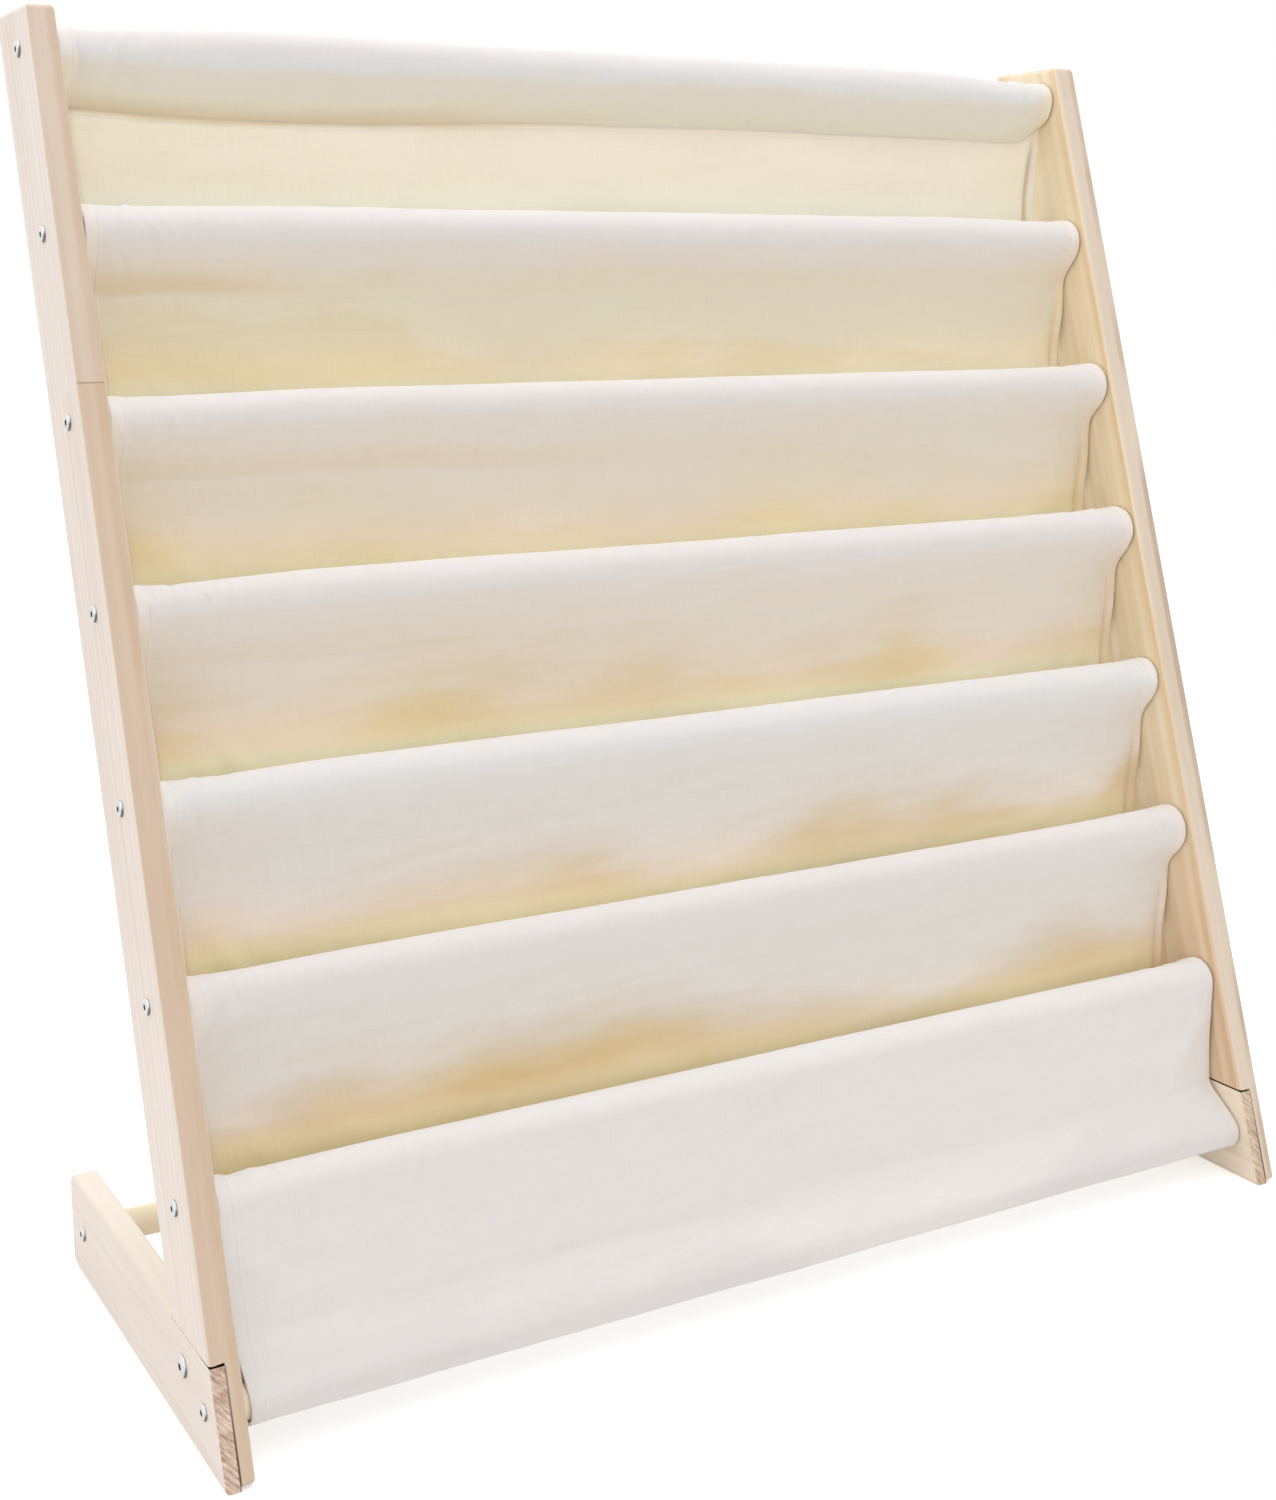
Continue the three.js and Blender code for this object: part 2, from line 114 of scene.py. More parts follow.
camera_data = bpy.data.cameras.new("camera")
camera_data.sensor_width = 36
camera_data.lens = 47.18
camera_data.shift_x = 0.0781
camera_data.shift_y = -0.0454
camera = bpy.data.objects.new("camera", camera_data)
camera.matrix_world = Matrix.Translation(camera_place) @ camera_turn.to_4x4()
bpy.context.scene.collection.objects.link(camera)
bpy.context.scene.camera = camera
print("camera at", tuple(round(value, 3) for value in camera_place))

# %% [markdown]
# ## Light and floor
#
# A studio shot on white: a bright, slightly warm sky all round, with soft lamps that make the tops of the
# folds lighter than their fronts. One lamp stands behind the shelf, because the canvas lets light through.
# The background is white because the sky looks white to the camera, not because of more light.

# %% World
sky_strength = 0.845
sky_colour = (1, 0.975, 0.955, 1)
world = bpy.data.worlds.new("studio")
bpy.context.scene.world = world
world.use_nodes = True
sky = world.node_tree
sky.nodes.clear()
seen = sky.nodes.new("ShaderNodeBackground")
seen.inputs["Color"].default_value = (1, 1, 1, 1)
seen.inputs["Strength"].default_value = 1
lit = sky.nodes.new("ShaderNodeBackground")
lit.inputs["Color"].default_value = sky_colour
lit.inputs["Strength"].default_value = sky_strength
path = sky.nodes.new("ShaderNodeLightPath")
either = sky.nodes.new("ShaderNodeMath")
either.operation = "MAXIMUM"
choose = sky.nodes.new("ShaderNodeMixShader")
sky_out = sky.nodes.new("ShaderNodeOutputWorld")
sky.links.new(path.outputs["Is Camera Ray"], either.inputs[0])
sky.links.new(path.outputs["Is Glossy Ray"], either.inputs[1])
sky.links.new(either.outputs[0], choose.inputs[0])
sky.links.new(lit.outputs[0], choose.inputs[1])
sky.links.new(seen.outputs[0], choose.inputs[2])
sky.links.new(choose.outputs[0], sky_out.inputs["Surface"])
bpy.context.scene.view_settings.view_transform = "Standard"
print("sky strength", sky_strength)


# %% Lamps
def lamp(name, place, target, size, power):
    data = bpy.data.lights.new(name, "AREA")
    data.shape = "SQUARE"
    data.size = size
    data.energy = power
    made = bpy.data.objects.new(name, data)
    made.location = place
    made.rotation_euler = (Vector(target) - Vector(place)).to_track_quat("-Z", "Y").to_euler()
    bpy.context.scene.collection.objects.link(made)
    return made


shelf_middle = (0, 0, shelf_height / 2)
lamp("lamp_above", (-0.3, 0.2, 2.6), shelf_middle, 1.2, 13)
lamp("lamp_left", (-2.4, -0.4, 1.0), shelf_middle, 1.6, 2)
lamp("lamp_rear", (0.3, 2.2, 1.3), shelf_middle, 1.8, 9)

# %% [markdown]
# ## Shader maths as Python
#
# A material is easier to read as sums than as boxes with wires. The class below wraps the output of a node.
# Python's own operators then add Math nodes, `dot` and `blend` do the same for vectors and colours, and
# `node` adds any other node from its type, its settings and what goes into its sockets.


# %% Wire
class Wire:
    """The output of a shader node, which Python's operators turn into Math nodes."""

    def __init__(self, socket):
        self.socket = socket

    def node(self, kind, settings=None, inputs=None, output=0):
        tree = self.socket.id_data
        made = tree.nodes.new("ShaderNode" + kind)
        for name, value in (settings or {}).items():
            setattr(made, name, value)
        for name, value in (inputs or {}).items():
            if isinstance(value, Wire):
                tree.links.new(value.socket, made.inputs[name])
            else:
                made.inputs[name].default_value = value
        return Wire(made.outputs[output])

    def math(self, operation, *values):
        return self.node("Math", {"operation": operation}, dict(enumerate(values)))

    def __add__(self, other):
        return self.math("ADD", self, other)

    def __sub__(self, other):
        return self.math("SUBTRACT", self, other)

    def __rsub__(self, other):
        return self.math("SUBTRACT", other, self)

    def __mul__(self, other):
        return self.math("MULTIPLY", self, other)

    def __truediv__(self, other):
        return self.math("DIVIDE", self, other)

    def __abs__(self):
        return self.math("ABSOLUTE", self)

    __radd__ = __add__
    __rmul__ = __mul__

    def dot(self, direction):
        return self.node("VectorMath", {"operation": "DOT_PRODUCT"}, {0: self, 1: direction}, "Value")

    def step(self, low, high):
        """0 below low, 1 above high, and smooth between."""
        settings = {"interpolation_type": "SMOOTHSTEP"}
        return self.node("MapRange", settings, {0: self, 1: low, 2: high})

    def between(self, low, rise, fall, high):
        """0 below low and above high, and 1 from rise to fall."""
        return self.step(low, rise) * (1 - self.step(fall, high))

    def blend(self, first, second):
        """The first colour where this value is 0, and the second where it is 1."""
        return self.node("Mix", {"data_type": "RGBA"}, {0: self, 6: first, 7: second}, 2)


# %% Colours
def shade(red, green, blue):
    """A colour as it is seen on a screen, from 0 to 255, in the linear values that a shader takes."""
    values = [value / 255 for value in (red, green, blue)]
    return (*[v / 12.92 if v <= 0.04045 else ((v + 0.055) / 1.055) ** 2.4 for v in values], 1)


def shades(tones):
    return [shade(*tone) for tone in tones]


# %% A new finish
def new_finish(name):
    """A material with its plain shader, and the place of each point as the shader sees it."""
    material = bpy.data.materials.new(name)
    material.use_nodes = True
    tree = material.node_tree
    shader = tree.nodes["Principled BSDF"]
    place = Wire(tree.nodes.new("ShaderNodeTexCoord").outputs["Object"])
    return material, shader, place


def feed(shader, name, value):
    if isinstance(value, Wire):
        shader.id_data.links.new(value.socket, shader.inputs[name])
    else:
        shader.inputs[name].default_value = value


def normal_at(place):
    return Wire(place.socket.node.outputs["Normal"])


# %% Patterns and bumps
def noise(vector, scale, detail=2, roughness=0.5):
    inputs = {"Vector": vector, "Scale": scale, "Detail": detail, "Roughness": roughness}
    return vector.node("TexNoise", None, inputs)


def join(x, y, z):
    first = next(value for value in (x, y, z) if isinstance(value, Wire))
    return first.node("CombineXYZ", None, {0: x, 1: y, 2: z})


def bump(height, strength, distance):
    inputs = {"Height": height, "Strength": strength, "Distance": distance}
    return height.node("Bump", None, inputs)


# %% Floor
floor_reach = 40
floor_glow = 0.42
floor_drop = 0.2 * mm
floor_tone = (0.9, 0.9, 0.9, 1)
bpy.ops.object.select_all(action="DESELECT")
bpy.ops.mesh.primitive_plane_add(size=floor_reach, location=(0, 0, -floor_drop))
floor = bpy.context.object
floor.name = "floor"
floor_finish = bpy.data.materials.new("white_floor")
floor_finish.use_nodes = True
tree = floor_finish.node_tree
tree.nodes.clear()
matt = tree.nodes.new("ShaderNodeBsdfDiffuse")
matt.inputs["Color"].default_value = floor_tone
glow = tree.nodes.new("ShaderNodeEmission")
path = tree.nodes.new("ShaderNodeLightPath")
both = tree.nodes.new("ShaderNodeAddShader")
out = tree.nodes.new("ShaderNodeOutputMaterial")
share = Wire(path.outputs["Is Camera Ray"]) * floor_glow
tree.links.new(share.socket, glow.inputs["Strength"])
tree.links.new(matt.outputs[0], both.inputs[0])
tree.links.new(glow.outputs[0], both.inputs[1])
tree.links.new(both.outputs[0], out.inputs["Surface"])
floor.data.materials.append(floor_finish)
print("floor:", floor_reach, "m across")

# %% [markdown]
# ## Pine
#
# Pale pine is mostly plain: broad, faint growth bands that run with the board, soft streaks, a few short
# darker flecks, and brown, mottled end grain where a board is sawn across. The bands are rings round a pith
# that lies outside the board, so they come out straight on one face and wide on another, as in a real plank.
# The posts are glued up from shorter lengths, which shows as a thin line on the narrow faces, where the tone
# changes. Each board has its own tones, because no two boards are alike. The tones of the narrow faces are
# partly the edge grain's own and partly painted shade, and along the half lap a painted glue line and painted
# shade darken the wood, nearly black inside the joint.


# %% Board
class Board:
    """What one board looks like: its tones, its pith, where its half lap lies, and where its lengths are
    glued together. Its faces may have other tones low down, and its front a streak near one edge. shoulder
    says how dark the painted glue line and painted shade are above the foot's top."""

    joint = None
    low_face = None
    streak = None
    streak_share = 0.0
    shoulder = 0.0

    def __init__(self, seed, pith, bands, face, edge, sawn, lap):
        self.seed = seed
        self.pith = pith
        self.bands = bands
        self.face = shades(face)
        self.edge = shades(edge)
        self.sawn = shades(sawn)
        self.lap = lap


# %% Tones in the wood
rings_per_metre = 130
fleck_tone = shade(196, 158, 122)
glue_tone = shade(158, 124, 98)
# Painted glue line and painted shade along the half lap, and painted shade inside the joint
lap_glue_and_shade_tone = shade(108, 74, 56)
gap_shade_tone = shade(58, 34, 24)


# %% Half lap line
def lap_line(place, high, board, wobble):
    """A painted glue line and painted shade darken the wood along the half lap: above the foot's top edge,
    and along the plane x = lap between the two boards. Inside the joint painted shade makes it nearly black."""
    sideways = place.dot((1, 0, 0)) - board.lap
    inward = place.dot(tuple(into_post)) - front_of_post.dot(into_post)
    above = high - foot_top + wobble
    shoulder = above.between(0.1 * mm, 0.3 * mm, 0.9 * mm, 1.7 * mm)
    shoulder = shoulder * (1 - sideways.step(-0.2 * mm, 0.3 * mm)) * board.shoulder
    beside = 1 - abs(sideways).step(0.3 * mm, 1.0 * mm)
    beside = beside * (0.85 - high.step(0.2 * foot_top, foot_top) * 0.5)
    beside = beside * (1 - high.step(foot_top - 0.5 * mm, foot_top))
    beside = beside * (1 - inward.step(board_width - 2 * mm, board_width - mm))
    facing = normal_at(place).dot((0, 0, 1))
    inside = (facing * facing).step(0.4, 0.8) * (1 - abs(above).step(2.0 * mm, 2.4 * mm))
    inside = inside * (1 - inward.step(board_width - 1.5 * mm, board_width - 0.5 * mm))
    return shoulder.math("MAXIMUM", shoulder, beside), inside


# %% Grain
def along_grain(spot, slow, fast, detail, roughness=0.5):
    """Noise drawn out along the grain, as slow changes along the board and fast ones across it."""
    length, wide, deep = spot
    return noise(join(length * slow, wide * fast, deep * fast), 1, detail, roughness)


def end_grain(spot, shift):
    """How dark the wood is where it is sawn across, from slanting saw marks and specks, and the specks."""
    _, wide, deep = spot
    speck = along_grain(spot, 420, 900, 3, 0.8)
    mottle = noise(join(shift, wide * 60, deep * 200), 1, 2)
    slant = noise(join(shift, (wide + deep) * 440, (wide - deep) * 80), 1, 3)
    return (speck - 0.5) * 1.3 + (slant - 0.5) * 2.4 + mottle * 0.4 + 0.3, speck


# %% Pine finish
def pine(name, grain, across, board):
    """grain runs along the board and across is the way of its width."""
    material, shader, place = new_finish(name)
    normal = normal_at(place)
    along = place.dot(grain)
    wide = place.dot(across)
    deep = place.dot((1, 0, 0))
    shift = board.seed * 1.7
    length = along + shift
    below = 0.0
    if board.joint:
        below = 1 - along.step(board.joint, board.joint + 0.3 * mm)
        length = length + below * 3.1
    spot = (length, wide, deep)
    wander = along_grain(spot, 1.6, 12, 3)
    far = wide - board.pith[0] + (wander - 0.5) * 0.03
    near = deep - board.pith[1]
    squared = far * far + near * near
    years = squared.math("SQRT", squared) * rings_per_metre + (wander - 0.5) * 1.5
    ring = years.math("FRACT", years)
    late = ring.between(0.1, 0.85, 0.85, 1.0)
    strength = noise(join(years * 0.3, shift, 0.0), 1, 2).step(0.35, 0.7)
    streak = along_grain(spot, 3, 170, 4, 0.6)
    fibre = along_grain(spot, 24, 1300, 2, 0.6)
    fleck = along_grain(spot, 75, 1500, 1).step(0.72, 0.8)
    cloud = along_grain(spot, 4, 20, 3)
    grey = (streak - 0.5) * 0.95 + (fibre - 0.5) * 0.2 + (cloud - 0.5) * 0.8
    band = grey + late * strength * board.bands + 0.2
    high = place.dot((0, 0, 1))
    low = 1 - (high + (cloud - 0.5) * 0.12).step(0.07, 0.34)
    pale, dark = board.face
    if board.low_face:
        pale = low.blend(pale, board.low_face[0])
        dark = low.blend(dark, board.low_face[1])
    wood = band.blend(pale, dark)
    # The narrow faces take the edge tones: partly the edge grain's own, partly painted shade
    edge = below.blend(board.edge[0], board.edge[1]) if board.joint else board.edge[0]
    edge = (grey * 0.9 + 0.1).blend(edge, board.edge[-1])
    sideways = normal.dot(across)
    narrow = (sideways * sideways).step(0.3, 0.75)
    wood = narrow.blend(wood, edge)
    if board.streak:
        patch = noise(join(length * 10, shift, 0.0), 1, 2).step(0.3, 0.62)
        beside = (deep + (cloud - 0.5) * 6 * mm).step(board.lap + mm, board.lap + 4 * mm)
        front = (sideways * -1).step(0.2, 0.6)
        wood = (front * beside * patch * board.streak_share).blend(wood, board.streak)
    wood = (fleck * 0.3).blend(wood, fleck_tone)
    facing = normal.dot(grain)
    end = (facing * facing).step(0.55, 0.8)
    rough, speck = end_grain(spot, shift)
    colour = end.blend(wood, rough.blend(*board.sawn))
    if board.joint:
        glue_line = (1 - abs(along - board.joint).step(0.2 * mm, 0.8 * mm)) * narrow
        colour = (glue_line * 0.55).blend(colour, glue_tone)
    # Painted glue line and painted shade along the half lap, and near-black painted shade inside the joint
    lap_shadow, inside = lap_line(place, high, board, (cloud - 0.5) * 0.6 * mm)
    colour = inside.blend(lap_shadow.blend(colour, lap_glue_and_shade_tone), gap_shade_tone)
    feed(shader, "Base Color", colour)
    feed(shader, "Roughness", 0.52 + (fibre - 0.5) * 0.2)
    feed(shader, "Specular IOR Level", 0.3)
    relief = fibre * 0.5 + late * 0.3 + speck * end * 2.5
    feed(shader, "Normal", bump(relief, 0.22, 0.15 * mm))
    return material


# %% The four boards
board_ways = {"post": (tuple(post_line), tuple(into_post)), "foot": ((0, 1, 0), (0, 0, 1))}
pink_face = [(249, 241, 234), (232, 213, 199)]
cream_face = [(248, 237, 209), (227, 199, 154)]
warm_face = [(250, 236, 216), (233, 207, 176)]
brown_sawn = [(245, 224, 206), (180, 144, 125)]
tan_sawn = [(240, 220, 196), (190, 160, 134)]
glued_at = 566 * mm
# Edge tones of the narrow faces, partly the edge grain's own and partly painted shade
left_post_edge = [(228, 210, 194), (226, 204, 182), (204, 170, 142)]
right_post_edge = [(236, 221, 203), (216, 194, 168)]
left_foot_edge = [(247, 239, 228), (235, 218, 198)]
right_foot_edge = [(246, 232, 210), (228, 204, 176)]
left_lap = middle("left_post").x
right_lap = middle("right_post").x
left_post_board = Board(1.0, (0.21, -0.33), 0.3, pink_face, left_post_edge, brown_sawn, left_lap)
left_post_board.joint = glued_at
left_post_board.streak = shade(208, 180, 146)
left_post_board.streak_share = 0.42
right_post_board = Board(4.0, (-0.085, 0.455), 0.85, cream_face, right_post_edge, brown_sawn, right_lap)
right_post_board.low_face = shades([(236, 210, 178), (204, 164, 122)])
right_post_board.shoulder = 0.5
right_post_board.streak = shade(198, 174, 152)
right_post_board.streak_share = 0.75
left_foot_board = Board(7.0, (-0.16, -0.36), 0.3, pink_face, left_foot_edge, brown_sawn, left_lap)
right_foot_board = Board(9.0, (0.10, 0.46), 0.5, warm_face, right_foot_edge, tan_sawn, right_lap)
boards = {
    "left_post": left_post_board,
    "right_post": right_post_board,
    "left_foot": left_foot_board,
    "right_foot": right_foot_board,
}
finishes = {
    node: pine("pine_" + node, *board_ways[node.split("_")[1]], board) for node, board in boards.items()
}
print("pine finishes:", len(finishes))

# %% [markdown]
# The rods are turned from a paler wood than the boards, with a straight grain, and their tones are paler
# still as painted light, since they stand in the shade under the sling. The noise is drawn out along X,
# because a streak that runs the length of a rod looks right from every side.


# %% Rod finish
def turned_wood(name, seed):
    """Straight-grained wood turned to a rod along X."""
    material, shader, place = new_finish(name)
    long = place.dot((1, 0, 0))
    side = place.dot((0, 1, 0))
    high = place.dot((0, 0, 1))
    streak = noise(join(long * 4 + seed, side * 300, high * 300), 1, 3)
    fibre = noise(join(long * 25 + seed, side * 1600, high * 1600), 1, 2, 0.6)
    tone = streak * 0.8 + fibre * 0.3
    # Pale wood tones, made paler still as painted light
    feed(shader, "Base Color", tone.blend(shade(255, 250, 232), shade(252, 231, 198)))
    feed(shader, "Roughness", 0.5 + (fibre - 0.5) * 0.2)
    feed(shader, "Specular IOR Level", 0.35)
    feed(shader, "Normal", bump(fibre, 0.2, 0.1 * mm))
    return material


rod_finish = turned_wood("dowel_wood", 3.0)

# %% [markdown]
# The screws are bright zinc over steel. A metal mostly shows what stands round it, so little more than its
# roughness has to be made. The key's socket is painted dark as shade in its recess, and an attribute of the
# mesh says where. A painted shade also darkens the side of a head that turns to the front and the floor.


# %% Steel finish
def plated_steel():
    """Bright zinc, with painted shade where a head turns to the front and the floor. Inside the key's socket,
    which the attribute marks, it is painted dark as shade in the recess."""
    material, shader, place = new_finish("bright_steel")
    # Painted shade on the side of a head that faces the front and the floor
    turned = normal_at(place).dot((0, -0.8, -0.6)).step(0.4, 0.85)
    grain = noise(place, 2600, 2)
    wear = noise(place, 380, 2)
    socket = place.node("Attribute", {"attribute_name": "socket"}, None, 2)
    bright = (wear * 0.6).blend(shade(240, 241, 243), shade(216, 217, 220))
    bright = turned.blend(bright, shade(126, 124, 122))
    # Painted shade inside the key's socket
    feed(shader, "Base Color", (socket * 0.9).blend(bright, shade(62, 60, 60)))
    feed(shader, "Metallic", 1 - socket * 0.7)
    feed(shader, "Roughness", 0.3 + grain * 0.14 + socket * 0.3)
    feed(shader, "Normal", bump(grain, 0.08, 0.05 * mm))
    return material


steel_finish = plated_steel()

# %% [markdown]
# ## Modelling by hand, in code
#
# The helpers below do what a modeller's hand does: select one thing, pick faces or edges by where they are,
# saw a block with a plane, and finish with a modifier. Everything is deselected first, because an operator
# acts on all that is selected.


# %% Select
def only(piece):
    if bpy.context.mode != "OBJECT":
        bpy.ops.object.mode_set(mode="OBJECT")
    bpy.ops.object.select_all(action="DESELECT")
    piece.select_set(True)
    bpy.context.view_layer.objects.active = piece


def pick(piece, kind, wanted):
    """Goes into edit mode with only the vertices, edges or faces selected that wanted accepts."""
    only(piece)
    bpy.ops.object.mode_set(mode="EDIT")
    bpy.ops.mesh.select_mode(type=kind)
    bpy.ops.mesh.select_all(action="DESELECT")
    shape = bmesh.from_edit_mesh(piece.data)
    parts = {"VERT": shape.verts, "EDGE": shape.edges, "FACE": shape.faces}[kind]
    for part in parts:
        if wanted(part):
            part.select_set(True)
    bmesh.update_edit_mesh(piece.data)


def leave_edit():
    bpy.ops.object.mode_set(mode="OBJECT")


# %% Shape
def round_edges(piece, wanted, offset, segments):
    pick(piece, "EDGE", wanted)
    bpy.ops.mesh.bevel(offset=offset, segments=segments, affect="EDGES")
    leave_edit()


def push(*way):
    """Extrudes the selected faces."""
    bpy.ops.mesh.extrude_region_move(TRANSFORM_OT_translate={"value": way})


def add(primitive, name, **settings):
    bpy.ops.object.select_all(action="DESELECT")
    getattr(bpy.ops.mesh, f"primitive_{primitive}_add")(**settings)
    made = bpy.context.object
    made.name = name
    bpy.ops.object.transform_apply(location=True, rotation=True, scale=True)
    return made


def bar_along_x(name, vertices, radius, low_x, high_x, place):
    size = {"vertices": vertices, "radius": radius, "depth": high_x - low_x}
    centre = ((low_x + high_x) / 2, place.y, place.z)
    return add("cylinder", name, location=centre, rotation=(0, math.pi / 2, 0), **size)


# %% Cut and finish
def saw(piece, point, normal, drop=True):
    """Cuts with a plane. What lies on the normal's side is dropped, or only gets a new edge."""
    pick(piece, "FACE", lambda face: True)
    bpy.ops.mesh.bisect(plane_co=point, plane_no=normal, use_fill=drop, clear_outer=drop)
    leave_edit()


def modify(piece, kind, **settings):
    only(piece)
    modifier = piece.modifiers.new(kind, kind)
    for name, value in settings.items():
        setattr(modifier, name, value)
    bpy.ops.object.modifier_apply(modifier=modifier.name)


def carve(piece, cutter):
    modify(piece, "BOOLEAN", operation="DIFFERENCE", object=cutter, solver="EXACT")
    bpy.data.objects.remove(cutter)


def dress(piece, finish, slot, *nodes):
    """Gives a finished piece its material, hangs it on the root body, and hides the frame's nodes that it
    stands for.
    """
    piece.data.materials.clear()
    piece.data.materials.append(finish)
    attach(piece, "root")
    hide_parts(*nodes)
    return piece


# %% [markdown]
# ## Boards
#
# A post and a foot are planks of one size. A post starts as a block that leans, is sawn level at both ends,
# and has its edges rounded. The half lap is then carved out of both boards: the foot keeps the left half of
# the thickness and the post's tongue the right half. The foot's top edge stays sharp under the post's
# shoulder, so that the joint closes to a thin dark line.


# %% Blocks and bores
def leaning_block(name, low_x, high_x, front, back):
    """A long block that leans with the posts, from front to back behind the post's front face."""
    depth = (front + back) / 2
    size = (high_x - low_x, back - front, 2 * shelf_height)
    place = front_of_post + into_post * depth
    place.x = (low_x + high_x) / 2
    return add("cube", name, size=1, location=place, rotation=(-lean, 0, 0), scale=size)


def level_block(name, low, high):
    size = [b - a for a, b in zip(low, high)]
    place = [(a + b) / 2 for a, b in zip(low, high)]
    return add("cube", name, size=1, location=place, scale=size)


def holes(places, radius, low_x, high_x):
    """Round cutters along X, joined to one tool."""
    cutters = [bar_along_x("bores", 32, radius, low_x, high_x, place) for place in places]
    only(cutters[0])
    for cutter in cutters[1:]:
        cutter.select_set(True)
    bpy.ops.object.join()
    return bpy.context.object


def is_sharp(edge):
    return len(edge.link_faces) == 2 and edge.calc_face_angle() > 0.6


def flat_sides(piece, angle=40):
    """Smooth rounds and truly flat faces."""
    only(piece)
    bpy.ops.object.shade_smooth_by_angle(angle=math.radians(angle))
    modify(piece, "WEIGHTED_NORMAL", keep_sharp=True)


# %% Sizes of the boards
overrun = 5 * mm
tongue_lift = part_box("left_post")[0].z
foot_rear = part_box("left_foot")[1].y
screw_hole = 3.3 * mm
shoulder_ease = 0.35 * mm
shoulder_open = {"left_post": (0.05 * mm, 0, 1.8 * mm), "right_post": (0.9 * mm, 0.9 * mm, 0.9 * mm)}
sleeve_hole = 4.8 * mm
lap_bolt_place = middle("left_lap_bolt")


# %% Drill and dress
def drill_and_dress(board, node, rods):
    """Bores a board for the screws of its rods and for the lap bolt's sleeve, and finishes it."""
    low_x, high_x = (corner.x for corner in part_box(node))
    rod_places = [rod_centres[rod] for rod in rods]
    for places, radius in ((rod_places, screw_hole), ([lap_bolt_place], sleeve_hole)):
        carve(board, holes(places, radius, low_x - overrun, high_x + overrun))
    flat_sides(board)
    return dress(board, finishes[node], "pine", node)


# %% Posts
def post(name):
    low_x, high_x = (corner.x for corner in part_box(name))
    lap = (low_x + high_x) / 2
    board = leaning_block(name + "_board", low_x, high_x, 0, board_width)
    saw(board, (0, 0, tongue_lift), (0, 0, -1))
    saw(board, (0, 0, shelf_height), (0, 0, 1))
    round_edges(board, lambda edge: True, edge_round, 4)
    at_rear, at_front, at_lap = shoulder_open[name]
    toe = front_of_post.y - (front_of_post.z - foot_top) * math.tan(lean)
    heel = toe + board_width / math.cos(lean)
    shoulder = level_block(
        "shoulder",
        (low_x - overrun, toe, -overrun),
        (lap + seat_gap / 2, heel, foot_top + at_rear),
    )
    pick(shoulder, "VERT", lambda vert: vert.co.z > 0 and vert.co.y < toe + mm)
    bpy.ops.transform.translate(value=(0, 0, at_front - at_rear))
    pick(shoulder, "VERT", lambda vert: vert.co.z > 0 and vert.co.y < toe + mm and vert.co.x > lap - mm)
    bpy.ops.transform.translate(value=(0, 0, at_lap - at_front))
    for face_side in (-1, 1):
        pick(shoulder, "FACE", lambda face: face.normal.y * face_side > 0.9)
        push(0, face_side * 10 * overrun, 0)
    leave_edit()
    carve(board, shoulder)

    def is_shoulder_edge(edge):
        level = all(foot_top < vert.co.z < foot_top + at_lap + 0.1 * mm for vert in edge.verts)
        outside = any(vert.co.x < lap - mm for vert in edge.verts)
        return level and outside and is_sharp(edge)

    round_edges(board, is_shoulder_edge, shoulder_ease, 2)
    return drill_and_dress(board, name, [*sling_rods, "front_rod"])


for node in ("left_post", "right_post"):
    made = post(node)
    print(made.name, len(made.data.polygons), "faces")

# %% [markdown]
# The foot lies level. Its rear end is square with softly rounded corners, and its front end is sawn at the
# post's lean, so that its brown end grain shows beside the post's tongue.

# %% Feet
rear_corner_round = 7 * mm
post_back = front_of_post + into_post * (board_width + seat_gap)


def foot(name):
    low_x, high_x = (corner.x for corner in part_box(name))
    lap = (low_x + high_x) / 2
    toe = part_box(name)[0].y
    board = level_block(name + "_board", (low_x, toe - overrun, 0), (high_x, foot_rear, foot_top))
    saw(board, front_of_post, -into_post)
    saw(board, post_back, into_post, drop=False)

    def is_rear_corner(edge):
        return all(vert.co.y > foot_rear - mm for vert in edge.verts) and is_level(edge)

    def is_level(edge):
        return abs(edge.verts[0].co.x - edge.verts[1].co.x) > mm

    round_edges(board, is_rear_corner, rear_corner_round, 8)

    def behind_post(vert):
        return (vert.co - post_back).dot(into_post) > -mm

    def is_long_edge(edge):
        if is_level(edge) or len(edge.link_faces) < 2 or edge.calc_face_angle() < 1:
            return False
        low = all(vert.co.z < mm for vert in edge.verts)
        return low or all(behind_post(vert) for vert in edge.verts)

    round_edges(board, is_long_edge, edge_round, 4)

    def is_lap_edge(edge):
        high = all(vert.co.z > foot_top - 0.1 * mm for vert in edge.verts)
        front = all(abs((vert.co - front_of_post).dot(into_post)) < 0.1 * mm for vert in edge.verts)
        fore = all(not behind_post(vert) for vert in edge.verts)
        return (front or (high and fore)) and is_sharp(edge)

    round_edges(board, is_lap_edge, shoulder_ease, 2)
    notch = leaning_block("notch", lap - seat_gap / 2, high_x + overrun, -overrun, board_width + seat_gap)
    carve(board, notch)
    return drill_and_dress(board, name, ["front_rod", "rear_rod"])


for node in ("left_foot", "right_foot"):
    made = foot(node)
    print(made.name, len(made.data.polygons), "faces")

# %% [markdown]
# ## Rods
#
# Nine plain turned rods. Each end is eased a little and drilled for its screw: the end face is inset to the
# drill's size and pushed in.

# %% Rods
rod_radius = 10 * mm
rod_sides = 64
rod_end_ease = 0.8 * mm
rim_round = 0.7 * mm
screw_bite = 32 * mm


